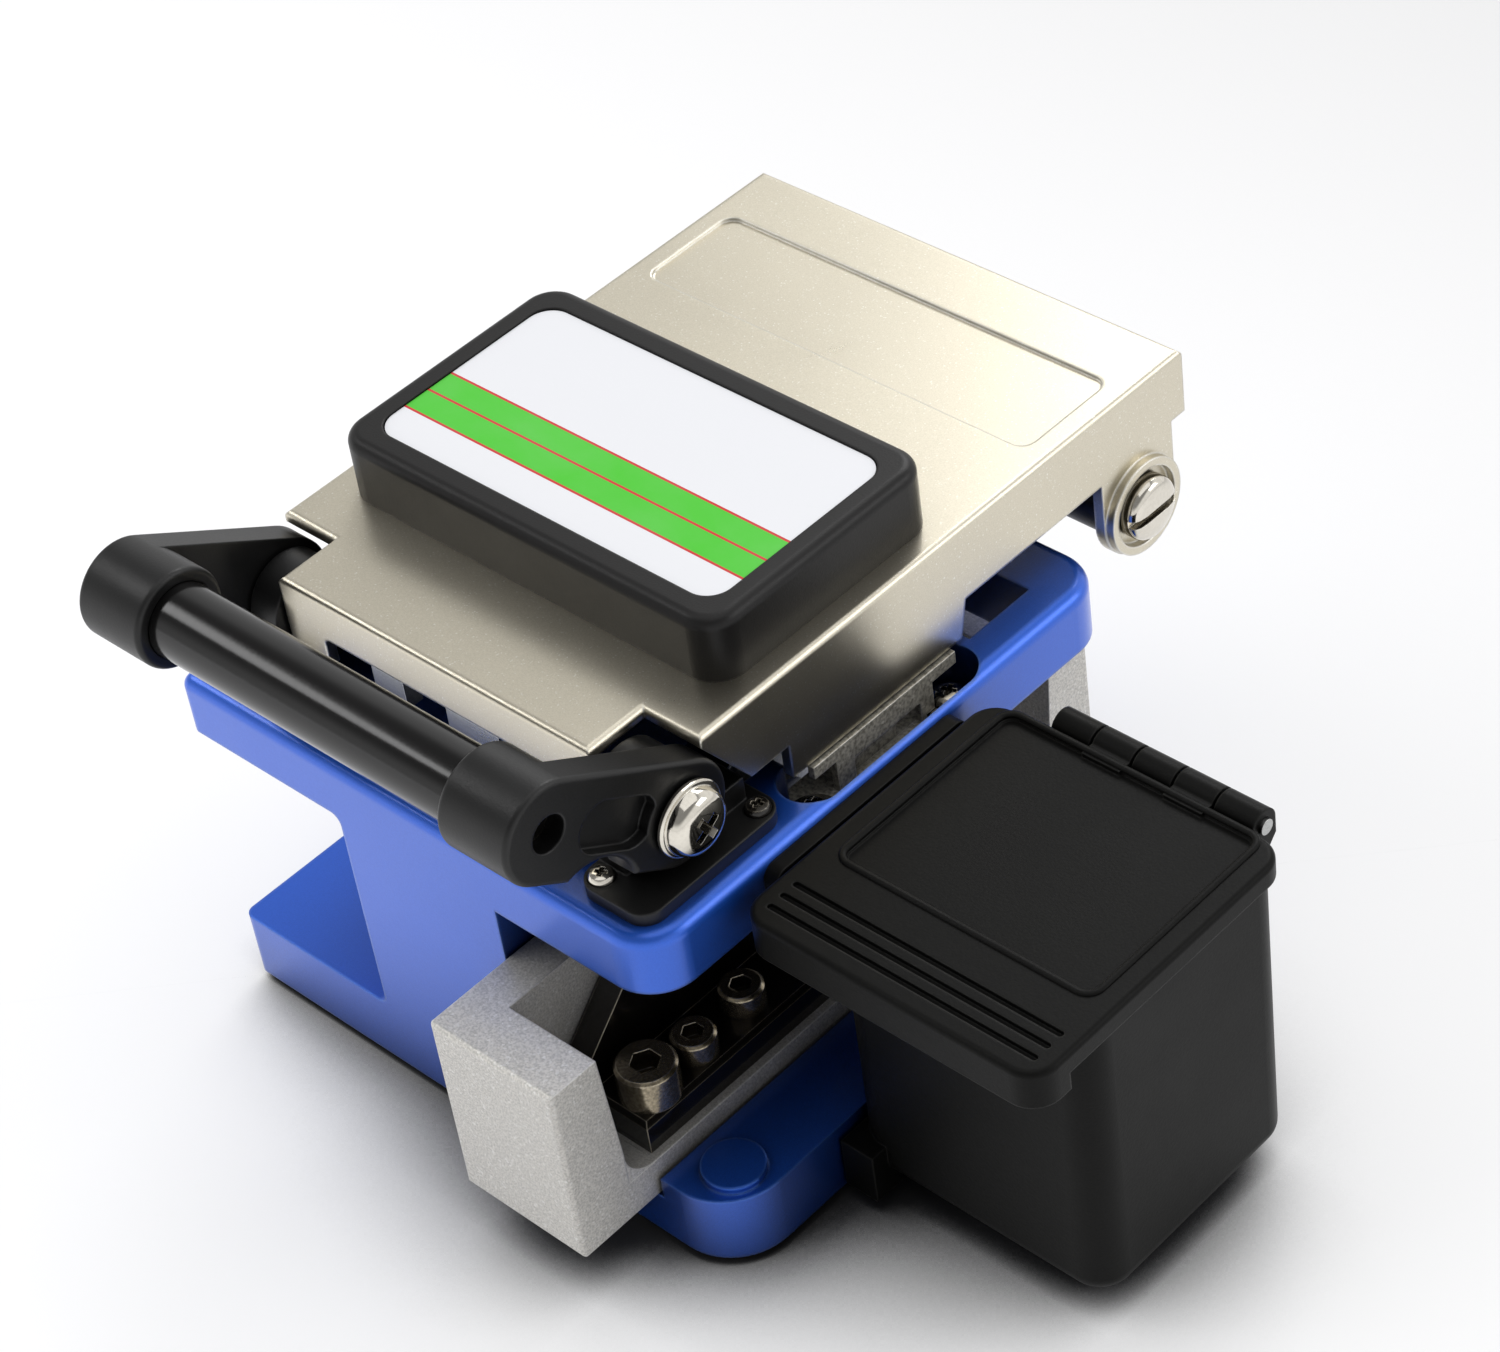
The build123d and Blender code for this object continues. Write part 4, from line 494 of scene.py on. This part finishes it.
def domeOutline(look):   # shank, flange with a fine step, and a domed head
    dome = (
        (0.985, 0.3), (0.93, 0.58), (0.82, 0.78), (0.64, 0.92), (0.4, 0.985), (0.2, 1.0), (0.0, 1.0),
    )
    r, flangeR, flangeH, shankLen = look["headR"], look["flangeR"], look["flangeH"], look["shankLen"]
    return [
        (0.0, -shankLen), (look["shankR"] * 0.8, -shankLen), (look["shankR"], 0.4 - shankLen),
        (look["shankR"], 0.0), (flangeR - 0.1, 0.0), (flangeR, 0.12), (flangeR, flangeH - 0.18),
        (flangeR - 0.12, flangeH - 0.05), (flangeR - 0.3, flangeH), (r + 0.12, flangeH),
        (r, flangeH + 0.06), *headCurve(dome, r, flangeH, look["headH"]),
    ]


def crossCuts(look):
    bar = dict(
        length=look["crossLen"], width=look["crossW"], depth=look["crossDepth"],
        top=look["headH"], taper=look["crossTaper"],
    )
    return [(look["crossTurn"], bar), (look["crossTurn"] + 90, bar)]


# pivot screws of the bail
pivotScrewLook = dict(
    headR=3.4, headH=2.5, flangeR=3.9, flangeH=0.6, shankR=2.0, shankLen=7.7,
    crossLen=4.3, crossW=0.95, crossDepth=1.5, crossTurn=32, crossTaper=0.45,
)


def makePivotScrews(look):
    low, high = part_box("pivot_screws")
    y, z = (low[1] + high[1]) / 2, (low[2] + high[2]) / 2
    seat = high[0] - look["headH"] * mm
    blank = turnedPiece("screwBlank", domeOutline(look), crossCuts(look))
    right = Matrix.Translation((seat, y, z))
    left = Matrix.Translation((-seat, y, z)) @ Matrix.Rotation(math.pi, 4, "Z")
    gather("pivotScrewPair", blank, [right, left], "base", "chrome", "pivot_screws")


makePivotScrews(pivotScrewLook)


# hinge pin with its slotted head
hingePinLook = dict(
    headR=3.4, headH=2.0, shankR=2.0, chamfer=0.3, grooveFrom=0.8, grooveTo=1.6, grooveR=1.6,
    slotW=1.05, slotDepth=1.1,
)


def makeHingePin(look):
    low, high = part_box("hinge_pin")
    y, z = (low[1] + high[1]) / 2, (low[2] + high[2]) / 2
    seat = high[0] - look["headH"] * mm
    end = (low[0] - seat) / mm
    r, h, shankR, chamfer = look["headR"], look["headH"], look["shankR"], look["chamfer"]
    crown = ((1.0, 0.5), (0.97, 0.68), (0.89, 0.84), (0.76, 0.94), (0.5, 1.0), (0.0, 1.0))
    outline = [
        (0.0, end), (shankR - chamfer, end), (shankR, end + chamfer), (shankR, end + look["grooveFrom"]),
        (look["grooveR"], end + look["grooveFrom"]), (look["grooveR"], end + look["grooveTo"]),
        (shankR, end + look["grooveTo"]), (shankR, 0.0), (r - 0.1, 0.0), (r, 0.1),
        *headCurve(crown, r, 0.0, h),
    ]
    slot = dict(length=3 * r, width=look["slotW"], depth=look["slotDepth"], top=h, taper=1.0)
    blank = turnedPiece("pinBlank", outline, [(0, slot)])   # its slot runs past both sides of the head
    gather("hingePinSlotted", blank, [Matrix.Translation((seat, y, z))], "base", "chrome", "hinge_pin")


makeHingePin(hingePinLook)


# screws of the right clamp's bracket
bracketScrewLook = dict(
    headR=1.7, headH=1.9, flangeR=2.7, flangeH=0.6, shankR=1.2, shankLen=3.7,
    crossLen=2.2, crossW=0.5, crossDepth=0.9, crossTurn=20, crossTaper=0.45,
    spots=((28.3, -6.8), (28.3, 12.3)),
)


def makeBracketScrews(look):
    low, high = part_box("bracket_screws")
    seat = high[2] - look["headH"] * mm
    blank = turnedPiece("screwBlank", domeOutline(look), crossCuts(look))
    places = [Matrix.Translation((x * mm, y * mm, seat)) @ upright for x, y in look["spots"]]
    gather("bracketScrewPair", blank, places, "base", "chrome", "bracket_screws")


makeBracketScrews(bracketScrewLook)


# screws through the posts' feet, the front ones near the tongue, the back ones outside and blackened
postScrewLook = dict(
    headR=1.3, headH=1.4, shankR=0.8, shankLen=6.5, frontX=22.8,
    crossLen=1.5, crossW=0.5, crossDepth=0.6, crossTurn=25, crossTaper=0.6,
)


def makePostScrews(look):
    low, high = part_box("post_screws")
    r, h, shankR, shankLen = look["headR"], look["headH"], look["shankR"], look["shankLen"]
    crown = ((1.0, 0.5), (0.94, 0.72), (0.8, 0.9), (0.55, 0.98), (0.0, 1.0))
    outline = [
        (0.0, -shankLen), (shankR, -shankLen), (shankR, 0.0), (r - 0.05, 0.0), (r, 0.06),
        *headCurve(crown, r, 0.0, h),
    ]
    blank = turnedPiece("screwBlank", outline, crossCuts(look))
    front = (look["frontX"] * mm, low[1] + r * mm)
    back = (high[0] - r * mm, high[1] - r * mm)
    places = [
        Matrix.Translation((side * x, y, high[2] - h * mm)) @ upright
        for x, y in (front, back) for side in (-1, 1)
    ]
    piece = gather("postScrewSet", blank, places, "base", "chrome", "post_screws")
    piece.data.materials.append(finishes["blackSteel"])
    middle = (low[1] + high[1]) / 2
    for face in piece.data.polygons:
        face.material_index = 1 if face.center.y > middle else 0


makePostScrews(postScrewLook)


# bead round the sunk panel of the box lid, its section in shares of its width and height
lidBeadLook = dict(
    inset=2.2, frontInset=10.1, depth=24.8, lidTop=41.0, sink=0.12, corner=1.9, width=0.75, height=0.38,
    section=((0, 0), (0, 0.5), (0.1, 0.82), (0.28, 1), (0.72, 1), (0.9, 0.82), (1, 0.5), (1, 0)),
)


def roundedRing(mesh, x0, x1, y0, y1, z, corner, inset, segments=8):   # ring of points, sizes in mm
    right, left, back, front = x1 - corner, x0 + corner, y1 - corner, y0 + corner
    radius = corner - inset
    ring = []
    for index, (x, y) in enumerate(((right, back), (left, back), (left, front), (right, front))):
        for step in range(segments + 1):
            turn = math.pi / 2 * (index + step / segments)
            spot = (x + radius * math.cos(turn), y + radius * math.sin(turn), z)
            ring.append(mesh.verts.new([value * mm for value in spot]))
    return ring


def makeLidBead(look):
    low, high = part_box("waste_box_lid")
    x0, x1 = low[0] / mm + look["inset"], high[0] / mm - look["inset"]
    y0 = low[1] / mm + look["frontInset"]
    foot = look["lidTop"] - look["sink"]
    mesh = bmesh.new()
    rings = [
        roundedRing(
            mesh, x0, x1, y0, y0 + look["depth"], foot + up * look["height"],
            look["corner"], inward * look["width"],
        )
        for inward, up in look["section"]
    ]
    for inner, outer in zip(rings, rings[1:] + rings[:1]):   # by hand: bridge_loops joins them crosswise
        for index in range(len(inner)):
            after = (index + 1) % len(inner)
            mesh.faces.new((inner[index], inner[after], outer[after], outer[index]))
    blank = makeObject(mesh, "beadBlank")
    gather("lidPanelBead", blank, [Matrix.Identity(4)], "waste_box_lid", "box_plastic", smoothTo=50.0)


makeLidBead(lidBeadLook)


# rounded corners at both ends of the carriage's trough, a hair inside its side face
troughLook = dict(
    radius=3.6, endLength=6.9, floorThick=4.3, railWidth=4.6, segments=14, bury=0.4, sideGap=0.01,
)


def makeTroughCorners(look):
    low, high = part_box("carriage")
    bottom, r, bury = low[2] + look["floorThick"] * mm, look["radius"] * mm, look["bury"] * mm
    x0, x1 = low[0] + look["railWidth"] * mm - bury, high[0] - look["sideGap"] * mm
    mesh = bmesh.new()
    for side, wall in ((1, low[1] + look["endLength"] * mm), (-1, high[1] - look["endLength"] * mm)):
        outline = [(wall - side * bury, bottom - bury), (wall + side * r, bottom - bury)]
        for step in range(look["segments"] + 1):
            turn = math.pi / 2 * step / look["segments"]
            outline.append((wall + side * r * (1 - math.sin(turn)), bottom + r * (1 - math.cos(turn))))
        outline.append((wall - side * bury, bottom + r))
        face = mesh.faces.new([mesh.verts.new((x0, y, z)) for y, z in outline])
        grown = bmesh.ops.extrude_face_region(mesh, geom=[face])["geom"]
        far = [item for item in grown if isinstance(item, bmesh.types.BMVert)]
        bmesh.ops.translate(mesh, vec=(x1 - x0, 0.0, 0.0), verts=far)
    blank = makeObject(mesh, "cornerBlank")
    gather("troughCorners", blank, [Matrix.Identity(4)], "carriage", "silver_paint")


makeTroughCorners(troughLook)
print("cleaver: screws, lid bead and trough corners made")


# stage, light and camera

floorLook = dict(
    size=6.0, colour=(196, 196, 197), contactShadow=(46, 46, 48), contactReach=0.036, contactFrom=0.34,
    contactTo=0.85, contactSamples=16, glow=0.42, farFrom=-0.04, farTo=0.40, farShade=0.62,
)


def makeFloor(look):
    mesh = bmesh.new()
    bmesh.ops.create_grid(mesh, x_segments=1, y_segments=1, size=look["size"])
    floor = makeObject(mesh, "floor")
    material, tree, shader = newMaterial("floorPaper")
    setInputs(shader, Roughness=0.9, Specular_IOR_Level=0.1, Emission_Color=(1.0, 1.0, 1.0, 1.0))
    closeness = place(tree, "ShaderNodeAmbientOcclusion", samples=look["contactSamples"])
    setInputs(closeness, Distance=look["contactReach"])
    openness = remap(
        tree, closeness.outputs["AO"], smooth=True, From_Min=look["contactFrom"], From_Max=look["contactTo"]
    )
    behind = remap(   # less white far behind
        tree, splitCoords(tree, objectCoords(tree))["Y"], smooth=True,
        From_Min=look["farFrom"], From_Max=look["farTo"], To_Min=1.0, To_Max=look["farShade"],
    )
    # painted contact shadow: the floor goes to the dark contact colour where the object is close
    colour = mixColours(tree, openness, fromScreen(*look["contactShadow"]), fromScreen(*look["colour"]))
    colour = mixColours(tree, 1.0, colour, behind, "MULTIPLY")
    path = place(tree, "ShaderNodeLightPath")
    seen = mathNode(tree, "MAXIMUM", path.outputs["Is Camera Ray"], path.outputs["Is Glossy Ray"])
    lifted = mathNode(tree, "MULTIPLY", openness, behind)   # lifts the wide shadow, not the close one
    glow = mathNode(tree, "MULTIPLY", mathNode(tree, "MULTIPLY", seen, lifted), look["glow"])
    wire(tree, shader, Base_Color=colour, Emission_Strength=glow)
    floor.data.materials.append(material)


roomLook = dict(   # each fade is where it starts, where it ends and what is left there
    back=0.92, backTint=(1.0, 1.0, 1.01), ambient=0.80, highTilt=0.3, nearRight=0.5, nearFront=0.87,
    rightFade=(-0.1, 0.7, 0.95), leftFade=(0.50, 0.75, 0.66), highFade=(0.40, 0.70, 0.3),
    nearFade=(0.2, 0.95, 0.05),
)


def makeRoom(look):   # white for what the camera, metal and glass see, softer for plain light
    world = bpy.data.worlds.new("studio")
    bpy.context.scene.world = world
    world.use_nodes = True
    tree = world.node_tree
    tree.nodes.clear()
    path = place(tree, "ShaderNodeLightPath")
    mirrored = mathNode(tree, "MAXIMUM", path.outputs["Is Glossy Ray"], path.outputs["Is Transmission Ray"])
    toward = splitCoords(tree, place(tree, "ShaderNodeTexCoord").outputs["Generated"])

    def fade(value, start, end, last):
        return remap(tree, value, smooth=True, From_Min=start, From_Max=end, To_Min=1.0, To_Max=last)

    def times(value, share):
        return mathNode(tree, "MULTIPLY", value, share)

    rightFade = fade(toward["X"], *look["rightFade"])   # a darker room on the right
    leftFade = fade(times(toward["X"], -1.0), *look["leftFade"])   # and far to the left
    tilt = mathNode(tree, "SUBTRACT", toward["Z"], times(toward["Y"], look["highTilt"]))
    highFade = fade(tilt, *look["highFade"])   # and high up in front
    nearness = mathNode(
        tree, "SUBTRACT", times(toward["X"], look["nearRight"]), times(toward["Y"], look["nearFront"])
    )
    nearFade = fade(nearness, *look["nearFade"])   # and least plain light from the viewer's side
    glossy = times(times(times(rightFade, leftFade), highFade), look["back"])
    strength = place(tree, "ShaderNodeMix")
    for index, source in ((0, mirrored), (2, times(nearFade, look["ambient"])), (3, glossy)):
        tree.links.new(source, strength.inputs[index])   # 2 and 3 are its number sockets
    plain = setInputs(place(tree, "ShaderNodeBackground"), Color=(1.0, 1.0, 1.0, 1.0))
    wire(tree, plain, Strength=strength.outputs[0])
    seen = tuple(look["back"] * tint for tint in look["backTint"]) + (1.0,)
    white = setInputs(place(tree, "ShaderNodeBackground"), Color=seen, Strength=1.0)
    mix = place(tree, "ShaderNodeMixShader")
    for index, source in enumerate((path.outputs["Is Camera Ray"], plain.outputs[0], white.outputs[0])):
        tree.links.new(source, mix.inputs[index])
    wire(tree, place(tree, "ShaderNodeOutputWorld"), Surface=mix.outputs[0])


softboxAim = (0.01, 0.0, 0.03)
softboxLooks = dict(
    key=dict(spot=(0.04, 0.20, 2.10), size=(2.2, 2.2), power=12.0),
    front=dict(spot=(-1.32, -1.32, 0.52), size=(1.6, 0.9), power=11.0, mirrored=False),
    strip=dict(spot=(-1.36, -0.56, 1.36), size=(0.9, 0.36), power=4.5),   # the streak on the tube
    rear=dict(spot=(-0.60, 1.40, 1.24), size=(0.84, 0.68), power=7.5),
    right=dict(spot=(1.60, 1.24, 1.10), size=(1.2, 1.0), power=7.5),
)


def makeSoftbox(name, look, aim):
    data = bpy.data.lights.new(name, "AREA")
    data.shape = "RECTANGLE"
    data.size, data.size_y = look["size"]
    data.energy = look["power"]
    lamp = bpy.data.objects.new(name, data)
    lamp.location = look["spot"]
    lamp.rotation_euler = (Vector(aim) - Vector(look["spot"])).to_track_quat("-Z", "Y").to_euler()
    lamp.visible_glossy = look.get("mirrored", True)
    bpy.context.scene.collection.objects.link(lamp)


cameraLook = dict(   # fitted to the photograph
    sensor=36.0, lens=95.2432, shift=(0.00058646, 0.00365503), clip=(0.02, 20.0),
    spot=(0.22628948, -0.18532476, 0.28701836), turn=(48.56095384, 6.72273835, 42.92793806),
)


def makeCamera(look):
    data = bpy.data.cameras.new("camera")
    data.sensor_width, data.lens = look["sensor"], look["lens"]
    data.shift_x, data.shift_y = look["shift"]
    data.clip_start, data.clip_end = look["clip"]
    camera = bpy.data.objects.new("camera", data)
    camera.location = look["spot"]
    camera.rotation_euler = Euler([math.radians(angle) for angle in look["turn"]], "XYZ")
    bpy.context.scene.collection.objects.link(camera)
    bpy.context.scene.camera = camera


makeFloor(floorLook)
makeRoom(roomLook)
for name, look in softboxLooks.items():
    makeSoftbox(name + "Softbox", look, softboxAim)
makeCamera(cameraLook)
bpy.context.scene.view_settings.view_transform = "Standard"
print("cleaver: stage, light and camera ready")
